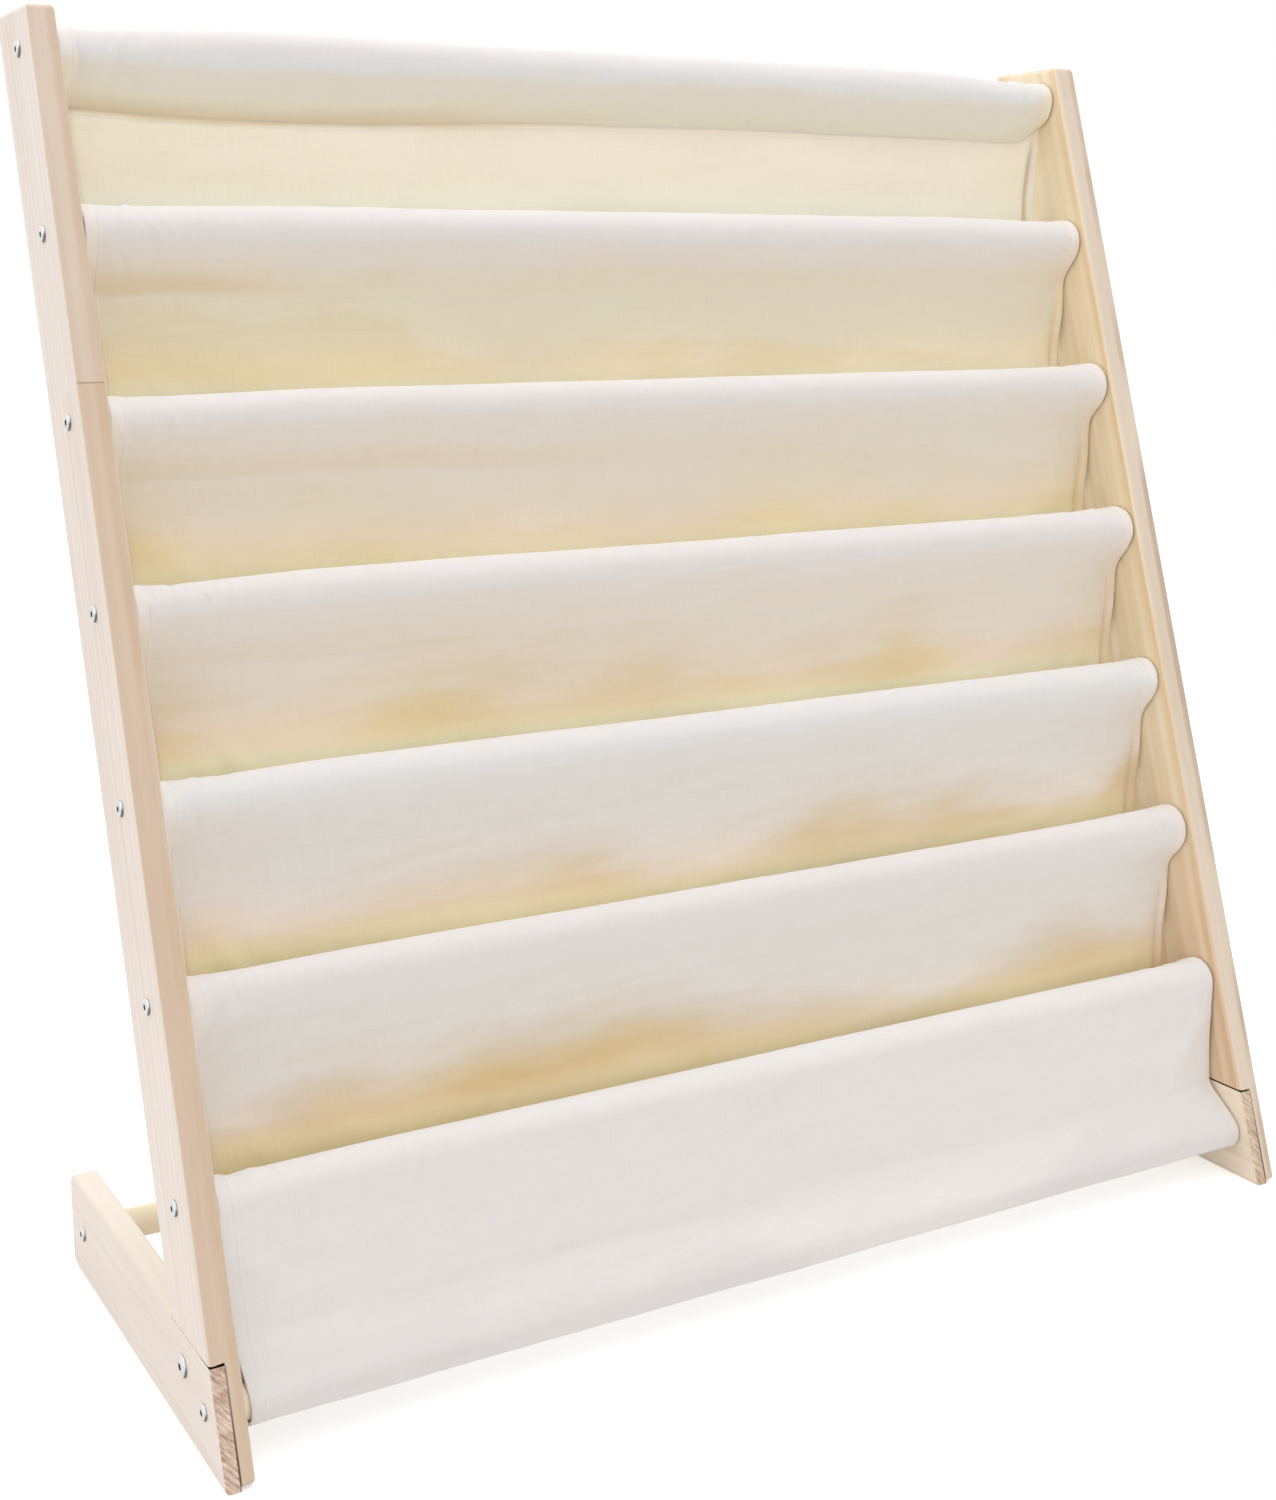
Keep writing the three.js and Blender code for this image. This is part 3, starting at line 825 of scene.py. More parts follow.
def rod(name):
    low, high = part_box(name)
    centre = (low + high) / 2
    bar = bar_along_x(name + "_bar", rod_sides, rod_radius, low.x, high.x, centre)
    pick(bar, "FACE", lambda face: abs(face.normal.x) > 0.9)
    bpy.ops.mesh.inset(thickness=rod_end_ease)
    bpy.ops.mesh.inset(thickness=rod_radius - rod_end_ease - screw_hole)
    for face_side in (-1, 1):
        pick(bar, "FACE", lambda face: face.normal.x * face_side > 0.9 and len(face.verts) == rod_sides)
        push(-face_side * screw_bite, 0, 0)

    def is_rim(edge):
        far = min(abs(vert.co.x - centre.x) for vert in edge.verts) > (high.x - low.x) / 2 - mm
        out = min((vert.co - centre).yz.length for vert in edge.verts) > rod_radius - 0.1 * mm
        return far and out

    round_edges(bar, is_rim, rim_round, 3)
    flat_sides(bar)
    return dress(bar, rod_finish, "dowel_wood", name)


for name in all_rods:
    made = rod(name)
print("rods:", len(all_rods), "with", len(made.data.polygons), "faces each")

# %% [markdown]
# ## Screws
#
# Button-head screws with a hexagon socket, bright zinc. One head is modelled by pushing a disc up in steps
# that follow a dome, the key's socket is carved out of it, and the shank is pulled out of its underside. The
# copies are then turned to the side they serve.


# %% Button head
head_sides = 48


def button_head(name, radius, height, socket, depth, shank, shank_length, bored=False):
    """A screw along X, its head's seat at x = 0 and its shank towards +X. A bored one is a sleeve nut."""
    rim = 0.25 * height
    pin = add("cylinder", name, vertices=head_sides, radius=radius, depth=rim, location=(0, 0, rim / 2))
    steps = 6
    rise = height - rim
    flat_share = 0.42
    before = 1.0
    for number in range(1, steps + 1):
        share = number / steps
        ring = flat_share + (1 - flat_share) * math.cos(share * math.pi / 2) ** 0.8
        up = rise * (math.sin(share * math.pi / 2) - math.sin((number - 1) / steps * math.pi / 2))
        pick(pin, "FACE", lambda face: face.normal.z > 0.99 and len(face.verts) == head_sides)
        push(0, 0, up)
        scale = ring / before
        bpy.ops.transform.resize(value=(scale, scale, 1), center_override=(0, 0, 0))
        before = ring
    pick(pin, "FACE", lambda face: face.normal.z < -0.99 and len(face.verts) == head_sides)
    bpy.ops.mesh.inset(thickness=radius - shank)
    push(0, 0, -shank_length)
    leave_edit()
    corner = socket / 2 / math.cos(math.pi / 6)
    key = add("cylinder", "key", vertices=6, radius=corner, depth=2 * depth, location=(0, 0, height))
    carve(pin, key)
    if bored:
        low = (0, 0, -1.1 * shank_length)
        deep = 2 * shank_length
        drill = add("cylinder", "drill", vertices=32, radius=screw_hole, depth=deep, location=low)
        carve(pin, drill)
    mark = pin.data.attributes.new("socket", "FLOAT", "FACE")
    for face, value in zip(pin.data.polygons, mark.data):
        near = Vector(face.center).xy.length < socket * 0.6
        value.value = float(near and height - 1.01 * depth < face.center.z < height - 0.02 * mm)
    pin.rotation_euler = (0, -math.pi / 2, 0)
    only(pin)
    bpy.ops.object.transform_apply(location=True, rotation=True, scale=True)
    flat_sides(pin, 28)
    return pin


# %% Set a screw
def set_screw(pattern, node, towards, seat):
    """A copy of the pattern at its node's place, its head's seat at x = seat, its shank towards +X or -X."""
    screw = pattern.copy()
    screw.data = pattern.data.copy()
    screw.name = node + "_steel"
    bpy.context.scene.collection.objects.link(screw)
    low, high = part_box(node)
    turn = Matrix.Identity(4) if towards > 0 else Matrix.Rotation(math.pi, 4, "Z")
    centre = (low + high) / 2
    screw.data.transform(Matrix.Translation((seat, centre.y, centre.z)) @ turn)
    return dress(screw, steel_finish, "steel", node)


# %% Screws, bolts and sleeve nuts
screw_pattern = button_head("screw_pattern", 4.8 * mm, 1.7 * mm, 3.4 * mm, 1.1 * mm, 3 * mm, 50 * mm)
bolt_pattern = button_head("bolt_pattern", 6.6 * mm, 2 * mm, 4.2 * mm, 1.3 * mm, 3 * mm, 15 * mm)
sleeve_pattern = button_head("sleeve_pattern", 6.5 * mm, 1.5 * mm, 4 * mm, 1 * mm, 4.5 * mm, 12 * mm, True)
seats = {"left": (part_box("left_post")[0].x, 1), "right": (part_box("right_post")[1].x, -1)}
for side, (outer, towards) in seats.items():
    seat = outer - towards * seat_gap
    for which in [*[f"screw_{i + 1}" for i in range(7)], "front_screw", "rear_screw"]:
        set_screw(screw_pattern, f"{side}_{which}", towards, seat)
    set_screw(bolt_pattern, side + "_lap_bolt", towards, seat)
    inner = outer + towards * (board_thickness + seat_gap)
    set_screw(sleeve_pattern, side + "_sleeve_nut", -towards, inner)
for pattern in (screw_pattern, bolt_pattern, sleeve_pattern):
    bpy.data.objects.remove(pattern)
print("screws, bolts and sleeve nuts set")

# %% [markdown]
# ## Canvas
#
# The sling is off-white cotton canvas. Close up it is a plain weave of fine threads, with thicker ones here
# and there. From a step away it is nearly white where the light falls on the casings, and cream in the
# pockets, where the bare cotton throws its colour back on itself. That light and shade are also painted into
# its colour: lit and shaded tones over the casings, and painted shade and bounce light in the pockets. The
# painted cream starts at no straight line, but in cloudy patches. Light passes through the cloth, which
# softens its shadows. The pattern reads a UV map in metres of cloth, counted from the seam under the rod, so
# that threads and patches follow every fold.


# %% Tones of a cloth
class Cloth:
    """The tones of one sheet, from the casing's crown down to the pocket's foot, with lengths in metres of
    cloth. They hold painted light and shade: crown, brow, front and under are lit and shaded tones over the
    casing, low and deep add painted shade and painted bounce light in the pocket, and foot is painted light
    at the pocket's foot. level is how far below the seam the deep tone starts. It starts higher over hills,
    each with a place, a reach and a height. patchy is how ragged its edge is, and thin how strong it is at
    its weakest. crease is how dark the painted shade along the seam is at its left end, and crease_reach how
    far it runs. hem is how dark the painted shadow beside the right hem is."""

    crown = (246, 241, 240)
    brow = (246, 239, 236)
    foot = None
    foot_from = 0.046
    level = 0.058
    patchy = 1.0
    thin = 0.6
    crease = 0.0
    crease_reach = 0.4
    hem = 0.15
    depth_of_light = 1.4 * mm

    def __init__(self, front, under, low, deep, hills, **looks):
        self.front = front
        self.under = under
        self.low = low
        self.deep = deep
        self.hills = hills
        for name, value in looks.items():
            setattr(self, name, value)


# %% Tones of the pockets and the panel
# Each pocket's tones hold painted light and shade down the sheet, as the Cloth class lays out
pocket_cloths = [
    Cloth(
        (255, 238, 224), (255, 239, 217), (238, 231, 219), (247, 240, 227),
        [(0.05, 0.16, 0.02)],
        crown=(243, 239, 238), brow=(252, 246, 244), foot=(255, 250, 235), foot_from=0.034, hem=0.35,
        level=-0.004, crease=0.4, crease_reach=0.44, patchy=0.4,
    ),
    Cloth(
        (254, 237, 227), (253, 234, 213), (255, 237, 214), (245, 232, 203),
        [(0.03, 0.1, 0.048), (0.16, 0.06, 0.044), (0.365, 0.05, 0.024), (0.5, 0.1, 0.012),
         (0.762, 0.02, 0.04)],
        foot=(255, 245, 225), level=0.056, crease=0.32, crease_reach=0.16, patchy=1.5, thin=0.3,
    ),
    Cloth(
        (252, 237, 227), (251, 235, 219), (246, 232, 210), (243, 228, 193),
        [(0.0, 0.045, 0.046), (0.13, 0.06, 0.01), (0.3, 0.06, 0.008), (0.465, 0.05, 0.042),
         (0.6, 0.09, 0.012), (0.765, 0.025, 0.035)],
        foot=(255, 243, 218), level=0.06, crease=0.14, crease_reach=0.44, patchy=1.2, thin=0.45,
    ),
    Cloth(
        (252, 237, 228), (252, 235, 222), (243, 229, 210), (238, 221, 183),
        [(0.02, 0.03, 0.026), (0.18, 0.07, 0.028), (0.31, 0.09, 0.032), (0.565, 0.035, 0.036),
         (0.74, 0.03, 0.012)],
        foot=(255, 246, 223), level=0.056, crease=0.08, crease_reach=0.3, patchy=1.2, thin=0.45,
    ),
    Cloth(
        (255, 242, 237), (255, 240, 232), (244, 233, 222), (235, 217, 182),
        [(0.02, 0.03, 0.012), (0.17, 0.07, 0.02), (0.26, 0.07, 0.024), (0.49, 0.08, 0.034),
         (0.61, 0.06, 0.02), (0.765, 0.03, 0.05)],
        crown=(250, 245, 244), brow=(255, 248, 245), foot=(255, 241, 214), patchy=0.7,
    ),
    Cloth(
        (255, 242, 237), (255, 241, 233), (239, 228, 215), (234, 212, 167),
        [(0.09, 0.06, 0.034), (0.2, 0.08, 0.022), (0.31, 0.09, 0.024), (0.42, 0.05, 0.012),
         (0.53, 0.05, -0.012), (0.66, 0.06, 0.032)],
        foot=(255, 237, 208), patchy=0.7,
    ),
]
panel_tone = (243, 240, 239)
roll_tone = (234, 232, 232)
# The panel's bluer front tone over its top is a painted highlight
panel_cloth = Cloth(
    (242, 244, 245), panel_tone, panel_tone, roll_tone,
    [(0.46, 0.12, -0.05)],
    crown=(241, 240, 242), brow=(243, 239, 238), level=0.076, patchy=0.35, hem=0.0, depth_of_light=0.6 * mm,
)
bare_canvas = shade(246, 240, 230)
# Painted shade for the seam's crease, and painted shadow beside the right hem
seam_shade_tone = shade(204, 186, 138)
hem_shade_tone = shade(178, 160, 110)
slub_tone = shade(176, 160, 136)
thread_turns = 2 * math.pi / (0.8 * mm)
hem_shadow = 6.5 * mm
print("cloths:", len(pocket_cloths) + 1)


# %% Clouds and tones
def clouds(across, hills):
    """How high the clouds of painted shade and bounce light rise along the cloth."""
    total = 0.0
    for place, reach, height in hills:
        off = (across - place) / reach
        fall = off * off * -1
        total = total + fall.math("EXPONENT", fall) * height
    return total


def down_the_cloth(cloth, across, down, broad, wisp):
    """The tones one after the other, from behind the rod over the casing and down the wall to the foot,
    with the painted light and shade that they carry.
    """
    rise = clouds(across, cloth.hills) + ((broad - 0.5) * 0.06 + (wisp - 0.5) * 0.06) * cloth.patchy
    depth = down + rise - cloth.level
    full = cloth.thin + broad.step(0.3, 0.62) * (1 - cloth.thin)
    behind = down.step(-0.082, -0.068)
    crown = (down + (wisp - 0.5) * 0.012).step(-0.047, -0.039)
    brow = (down + (wisp - 0.5) * 0.014).step(-0.037, -0.026)
    turn = (down + (wisp - 0.5) * 0.012 + (broad - 0.5) * 0.02).step(-0.026, -0.005)
    wall = down.step(-0.002, 0.0)
    colour = behind.blend(bare_canvas, shade(*cloth.crown))
    colour = crown.blend(colour, shade(*cloth.brow))
    colour = brow.blend(colour, shade(*cloth.front))
    colour = turn.blend(colour, shade(*cloth.under))
    colour = (wall * depth.step(-0.045 * cloth.patchy, 0.004)).blend(colour, shade(*cloth.low))
    colour = (wall * depth.step(-0.008, 0.026) * full).blend(colour, shade(*cloth.deep))
    if cloth.foot:
        foot = wall * (down + (wisp - 0.5) * 0.02).step(cloth.foot_from, cloth.foot_from + 0.02)
        colour = (foot * 0.9).blend(colour, shade(*cloth.foot))
    return colour


# %% Sewn lines
def painted_seam_and_hem_shade(colour, cloth, across, down, broad, wisp):
    """Painted shade in the crease along the seam, and a painted shadow beside the fold of the right hem."""
    near_seam = down + (broad - 0.5) * 0.012 + (wisp - 0.5) * 0.006
    above_seam = near_seam * -1
    seam_shade = (1 - above_seam.step(0.4 * mm, 15 * mm)) * (1 - near_seam.step(0.4 * mm, 5 * mm))
    seam_shade = seam_shade * (1 - across.step(0.4 * cloth.crease_reach, cloth.crease_reach))
    colour = (seam_shade * cloth.crease).blend(colour, seam_shade_tone)
    edge = across - 2 * half_width + hem_shadow
    hem_fold_shade = (1 - abs(edge).step(0.8 * mm, 2.6 * mm)) * down.step(2 * mm, 20 * mm)
    return (hem_fold_shade * cloth.hem).blend(colour, hem_shade_tone)


# %% Canvas finish
def canvas(name, seed, cloth):
    material, shader, place = new_finish(name)
    flat = place.node("UVMap", {"uv_map": "cloth"})
    across = flat.node("SeparateXYZ", None, {0: flat})
    down = Wire(across.socket.node.outputs[1])
    broad = noise(join(across * 7 + seed, down * 9, seed), 1, 2, 0.5)
    wisp = noise(join(across * 14 + down * 18 + seed, down * 60, seed + 3), 1, 4, 0.55)
    # Painted light and shade down the sheet, then painted shade along the seam and beside the right hem
    colour = down_the_cloth(cloth, across, down, broad, wisp)
    colour = painted_seam_and_hem_shade(colour, cloth, across, down, broad, wisp)
    faced = place.node("Attribute", {"attribute_name": "front"}, None, 2)
    colour = faced.blend(bare_canvas, colour)
    warp_waves = across * thread_turns
    weft_waves = down * thread_turns
    weave = warp_waves.math("SINE", warp_waves) * weft_waves.math("SINE", weft_waves)
    warp_slub = noise(join(across * 900 + seed, down * 40, 1.0), 1, 2)
    weft_slub = noise(join(across * 40 + seed, down * 900, 5.0), 1, 2)
    slub = warp_slub + weft_slub - 1
    tone = slub * 0.12 + (wisp - 0.5) * 0.12 + weave * 0.03 + 0.04
    feed(shader, "Base Color", tone.blend(colour, slub_tone))
    feed(shader, "Roughness", 0.92)
    feed(shader, "Specular IOR Level", 0.12)
    feed(shader, "Sheen Weight", 0.06)
    feed(shader, "Sheen Roughness", 0.5)
    feed(shader, "Subsurface Weight", 1.0)
    feed(shader, "Subsurface Radius", (1.0, 0.96, 0.86))
    feed(shader, "Subsurface Scale", cloth.depth_of_light)
    feed(shader, "Normal", bump(weave * 0.3 + slub * 1.4, 0.35, 0.12 * mm))
    return material


# %% A finish for each sheet
pocket_finishes = []
for i, cloth in enumerate(pocket_cloths):
    pocket_finishes.append(canvas(f"canvas_pocket_{i + 1}", 2 + 1.3 * i, cloth))
panel_finish = canvas("canvas_panel", 5.0, panel_cloth)
print("canvas finishes:", len(pocket_finishes) + 1)

# %% [markdown]
# The stitches are plain cotton thread, smoother than the canvas. A fine noise stands for its twist, since
# one stitch is under three millimetres long.


# %% Thread finish
def cotton_thread():
    material, shader, place = new_finish("cotton_thread")
    twist = noise(place, 3000, 1)
    feed(shader, "Base Color", (twist * 0.5).blend(shade(248, 246, 241), shade(226, 219, 204)))
    feed(shader, "Roughness", 0.7)
    feed(shader, "Normal", bump(twist, 0.3, 0.1 * mm))
    return material


thread_finish = cotton_thread()

# %% [markdown]
# ## How the cloth hangs
#
# Each pocket is one sheet. Its path starts behind a rod, goes over it, comes down the front to the seam that
# closes the casing, hangs as the pocket's back wall, turns round the pocket's foot and climbs to the next
# rod's seam. The path is worked out at many stations along the rod, crowded towards the ends, where the cloth
# does most. Slow waves in its radius, its depth and its belly keep it from looking like a bent plate, and the
# cloth is pulled in at the pocket's open ends.


# %% Waves
def waves(seed, count, low, high):
    """A smooth, repeatable wander of about -1 to 1, as a function of a place from 0 to 1."""
    dice = np.random.default_rng(seed)
    turns = dice.uniform(low, high, count)
    starts = dice.uniform(0, 2 * np.pi, count)
    weights = 1 / np.sqrt(turns)
    weights = weights / weights.sum()

    def at(place):
        return sum(w * np.sin(2 * np.pi * t * place + s) for w, t, s in zip(weights, turns, starts))

    return at


def ripples(seed, count, across, down):
    """The same in two directions: across and down are the most turns over the sheet."""
    dice = np.random.default_rng(seed)
    turns = np.stack([dice.uniform(-across, across, count), dice.uniform(-down, down, count)])
    starts = dice.uniform(0, 2 * np.pi, count)

    def at(place_across, place_down):
        total = 0
        for a, d, s in zip(*turns, starts):
            total = total + np.sin(2 * np.pi * (a * place_across + d * place_down) + s)
        return total / np.sqrt(count)

    return at


# %% Windows
def window(value, low, high):
    """0 below low, 1 above high, and smooth between."""
    t = np.clip((value - low) / (high - low), 0, 1)
    return t * t * (3 - 2 * t)


def between(value, low, rise, fall, high):
    """0 below low and above high, and 1 from rise to fall."""
    return window(value, low, rise) * (1 - window(value, fall, high))


# %% Stations
stations = 301
crowding = 0.7
even = np.linspace(0, 1, stations)
shares = even - crowding * np.sin(2 * np.pi * even) / (2 * np.pi)
closest = (shares[1] - shares[0]) * 2 * half_width / mm
print(f"stations: {stations}, the closest {closest:.2f} mm apart")


# %% Curves in the section
def bezier(start, start_pull, end_pull, end, count):
    """Points on a cubic curve, for all stations at once. Each argument has one row per station."""
    t = np.linspace(0, 1, count)[None, :, None]
    a, b, c, d = (value[:, None, :] for value in (start, start + start_pull, end + end_pull, end))
    return (1 - t) ** 3 * a + 3 * t * (1 - t) ** 2 * b + 3 * t**2 * (1 - t) * c + t**3 * d


def arc(centre, radius, start, finish, count):
    """Points round a circle in (y, z), for all stations at once. Angles count from +Y towards +Z."""
    angle = math.radians(start) + math.radians(finish - start) * np.linspace(0, 1, count)[None, :]
    ring = np.stack([np.cos(angle) * radius[:, None], np.sin(angle) * radius[:, None]], axis=2)
    return centre[:, None, :] + ring


def tangent(angle):
    """The way that an arc runs at an angle, in (y, z)."""
    return np.array([-math.sin(math.radians(angle)), math.cos(math.radians(angle))])


def pairs(y, z):
    ones = np.ones(stations)
    return np.stack([y * ones, z * ones], axis=1)


def chain(runs):
    """Joins runs of points that meet end to end."""
    return np.concatenate([runs[0], *[run[:, 1:] for run in runs[1:]]], axis=1)


def lengths(path):
    """How far along the path each point lies, from its start."""
    steps = np.linalg.norm(np.diff(path, axis=1), axis=2)
    return np.concatenate([np.zeros((stations, 1)), np.cumsum(steps, axis=1)], axis=1)


# %% Sizes of the sling
cloth_thickness = 0.9 * mm
seam_drop = 31 * mm
seam_forward = 2.6 * mm
seam_sags = [-1 * mm, 3 * mm, 2 * mm, 2 * mm, 2 * mm, 2 * mm, 1 * mm]
seam_dips = [6 * mm] + 6 * [0]
seam_ends = [12 * mm] + 6 * [0]
casing_lifts = [
    (0.6, 6.0, 0.2),
    (4.0, 6.0, 3.6),
    (0.8, 3.3, 3.6),
    (1.6, 4.6, 5.2),
    (0.0, 2.4, 2.0),
    (0.3, 2.0, 3.2),
    (0.0, 1.6, 1.2),
]
seam_drawn = [0, 3.2 * mm, 3.6 * mm, 3.6 * mm, 3.8 * mm, 3.6 * mm, 2 * mm]
pocket_belly = 1.7 * mm
panel_belly = 0.55 * mm
ripple_length = 160 * mm
ripple_height = 0.3 * mm
fold_width = 7 * mm
fold_height = 1.3 * mm
fold_reach = 95 * mm
gather_height = 0.32 * mm
pucker_height = 0.45 * mm
end_pull = 5.5 * mm
pull_reach = 60 * mm
pocket_depth = 46 * mm
pocket_sag = 4 * mm
foot_radius = 11 * mm
foot_set_back = 4 * mm
end_flare = 2.2 * mm
end_reach = 24 * mm
cloth_width = 2 * half_width
from_edge = np.minimum(shares, 1 - shares) * cloth_width
side_of = np.sign(2 * shares - 1)


def yz(node):
    return np.array([rod_centres[node].y, rod_centres[node].z])


centres = [yz(node) for node in sling_rods]
front_centre = yz("front_rod")


# %% Casings
def casing_lift(i):
    """How far the stiff cloth stands up off the rod: at the left end, in the middle and at the right end."""
    left, mid, right = (value * mm for value in casing_lifts[i])
    return left + (mid - left) * window(shares, 0, 0.17) + (right - mid) * window(shares, 0.83, 1)


def casing_radius(i):
    swell = waves(100 + i, 6, 1.2, 7)(shares)
    crumple = waves(150 + i, 9, 9, 30)(shares)
    flare = np.exp(-from_edge / end_reach)
    slack = 2.4 + 0.8 * swell + 0.26 * crumple
    return rod_radius + slack * mm + flare * end_flare + casing_lift(i) / 2


def casing_centre(i, radius):
    """A casing is wider than its rod, so it stands off the rod's top and leans forward."""
    lift = casing_lift(i)[:, None]
    slack = (radius - rod_radius)[:, None] - lift / 2
    forward = slack * np.array([-0.55, -0.35])[None, :]
    return centres[i][None, :] + forward + lift * np.array([0.1, 0.5])[None, :]


# %% Seams
def seam_place(i):
    """The middle of the seam under rod i. Away from the posts the pocket's weight pulls it forward."""
    wander = waves(200 + i, 5, 1, 6)(shares)
    lean_in = waves(250 + i, 5, 1, 5)(shares)
    dip = seam_dips[i] * np.exp(-(((shares - 0.18) / 0.15) ** 2))
    hang_low = seam_sags[i] * np.sin(np.pi * shares) ** 0.8 + dip
    raised = seam_ends[i] * np.exp(-((from_edge / (13 * mm)) ** 2)) * (side_of > 0)
    height = centres[i][1] - seam_drop + 1.3 * mm * wander - hang_low + raised
    drawn = seam_drawn[i] * window(from_edge, 10 * mm, 150 * mm)
    return pairs(centres[i][0] - seam_forward - drawn + 0.6 * mm * lean_in, height)


# %% From seam to seam over a rod
over_from = -8
over_to = 196


def casing(i, crease, over_to=over_to):
    """From the seam behind the rod, over it, and down the front to the seam. With crease at 1 the casing
    turns in sharply to the seam, and with crease at 0 it flows into the wall."""
    radius = casing_radius(i)
    seam = seam_place(i)
    rear = seam + pairs(cloth_thickness / 2, 0)
    front = seam - pairs(cloth_thickness / 2, 0)
    over = arc(casing_centre(i, radius), radius, over_from, over_to, 34)
    rise = bezier(rear, pairs(0, 10 * mm), -tangent(over_from) * 9 * mm, over[:, 0], 12)
    pull = pairs(-5.5 * mm, 3.4 * mm) * crease + pairs(0, 12 * mm) * (1 - crease)
    fall = bezier(over[:, -1], tangent(over_to) * 11 * mm, pull, front, 24)
    return [rise, over, fall]


# %% One pocket's path
creases = [1.0, 0.12, 0.05, 0.0, 0.0, 0.0]


def pocket_path(i):
    top_runs = casing(i, creases[i])
    top = top_runs[-1][:, -1]
    next_seam = seam_place(i + 1)
    end = next_seam + pairs(1.5 * cloth_thickness + 0.3 * mm, 2 * mm)
    sag = pocket_sag * np.sin(np.pi * shares) + 2 * mm * waves(300 + i, 4, 1, 5)(shares)
    radius = foot_radius + 1.2 * mm * waves(350 + i, 4, 1, 6)(shares)
    centre = np.stack(
        [end[:, 0] + foot_set_back + radius, next_seam[:, 1] - pocket_depth - sag + radius], axis=1
    )
    turn = arc(centre, radius, 0, -180, 16)
    wall = bezier(top, pairs(0, -50 * mm), pairs(0, 40 * mm), turn[:, 0], 40)
    climb = bezier(turn[:, -1], pairs(0, 12 * mm), pairs(0.4 * mm, -12 * mm), end, 16)
    return [*top_runs, wall, turn, climb]


test_path = chain(pocket_path(0))
print(f"a pocket's path: {test_path.shape[1]} points, {lengths(test_path)[:, -1].mean():.4f} long")


# %% [markdown]
# Cloth that hangs from a rod is never flat. It has a broad belly, small ripples, gathers where the seam draws
# it in, and drag folds that run down and inwards from the ends of the casing, because the pocket's weight
# hangs in the middle. All of them are added along the sheet's own normal, and only where the cloth is free.


# %% Folds and dents
def drag_folds(seed, across_edge, down):
    """Soft folds that fan out from the casing's end into the wall."""
    dice = np.random.default_rng(seed)
    total = 0
    for slope in dice.uniform(0.35, 1.9, 3):
        start = dice.uniform(4, 18) * mm
        off = (down - slope * across_edge - start) / math.hypot(1, slope)
        total = total + np.exp(-((off / fold_width) ** 2)) * np.exp(-across_edge / fold_reach)
    return total * fold_height


def dents(seed, reach, down):
    """Short creases near the casing's end, where the cloth bunches on its rod."""
    dice = np.random.default_rng(seed)
    total = 0
    for _ in range(9):
        off = reach - dice.uniform(5, 46) * mm
        under = down - dice.uniform(-60, -16) * mm
        turn = dice.uniform(-0.7, 0.7)
        long = off * math.sin(turn) + under * math.cos(turn)
        wide = off * math.cos(turn) - under * math.sin(turn)
        size = dice.uniform(1.8, 3.4) * mm
        height = dice.uniform(0.4, 1.0) * mm * dice.choice([-1, -1, 1])
        total = total + height * np.exp(-((wide / size) ** 2) - (long / (dice.uniform(5, 10) * mm)) ** 2)
    return total


# %% Hang a path
def hang(path, down, seed, belly, free, pull, curls=(0, 0)):
    """Turns a path in (y, z) at every station into places in space. free is 1 where the cloth can move, and
    pull is how far its side edges are drawn in. curls is how far the left and the right hem roll forward."""
    turned = 2 * shares[:, None] - 1
    edge = from_edge[:, None]
    x = turned * half_width - side_of[:, None] * pull * np.exp(-edge / pull_reach)
    flow = np.gradient(path, axis=1)
    flow = flow / np.maximum(np.linalg.norm(flow, axis=2, keepdims=True), 1e-9)
    out = np.stack([flow[:, :, 1], -flow[:, :, 0]], axis=2)
    across = shares[:, None] * np.ones_like(down)
    shift = belly * ripples(seed, 9, 4.5, 1.2)(across, down / ripple_length) * free
    small = ripple_height * ripples(seed + 50, 12, 15, 3)(across, down / ripple_length)
    shift = shift + small * free
    for number, side in enumerate((-1, 1)):
        reach = np.where(side_of[:, None] == side, edge, 1.0)
        shift = shift + drag_folds(seed + 70 + number, reach, down) * free
        ridge = np.exp(-(((reach - 1.6 * mm) / (2.8 * mm)) ** 2))
        valley = np.exp(-(((reach - 7.5 * mm) / (3 * mm)) ** 2))
        shift = shift + curls[number] * (ridge - 0.8 * valley) * window(down, 3 * mm, 26 * mm)
        shift = shift + dents(seed + 80 + number, reach, down)
    gather = waves(seed + 90, 9, 22, 48)(shares)[:, None]
    near_seam = between(down, -14 * mm, -2 * mm, 2 * mm, 22 * mm)
    shift = shift + gather_height * gather * near_seam
    pucker = np.sin(edge / (3.6 * mm) + down / (9 * mm) + seed) * np.exp(-edge / (22 * mm))
    on_casing = between(down, -62 * mm, -48 * mm, -12 * mm, 6 * mm)
    shift = shift + pucker_height * pucker * on_casing
    moved = path + out * shift[:, :, None]
    return np.stack([x, moved[:, :, 0], moved[:, :, 1]], axis=2)


# %% [markdown]
# ## From places to cloth
#
# The places become a thin closed shell: a front and a back grid half a thickness from the middle, joined by a
# rounded rim. Near its side edges the canvas is folded over and sewn, so it is twice as thick there, with a
# shallow groove where the stitches pull.

# %% Normals and closed pieces
hem_width = 10 * mm
stitch_line = 8 * mm


def normals_of(places):
    along = np.gradient(places, axis=0)
    down = np.gradient(places, axis=1)
    normal = np.cross(down, along)
    return normal / np.maximum(np.linalg.norm(normal, axis=2, keepdims=True), 1e-9)


def closed_piece(name, mesh):
    """An object from a closed mesh, with its faces turned outwards and its shading smooth."""
    piece = bpy.data.objects.new(name, mesh)
    bpy.context.scene.collection.objects.link(piece)
    pick(piece, "FACE", lambda face: True)
    bpy.ops.mesh.normals_make_consistent(inside=False)
    leave_edit()
    bpy.ops.object.shade_smooth()
    return piece


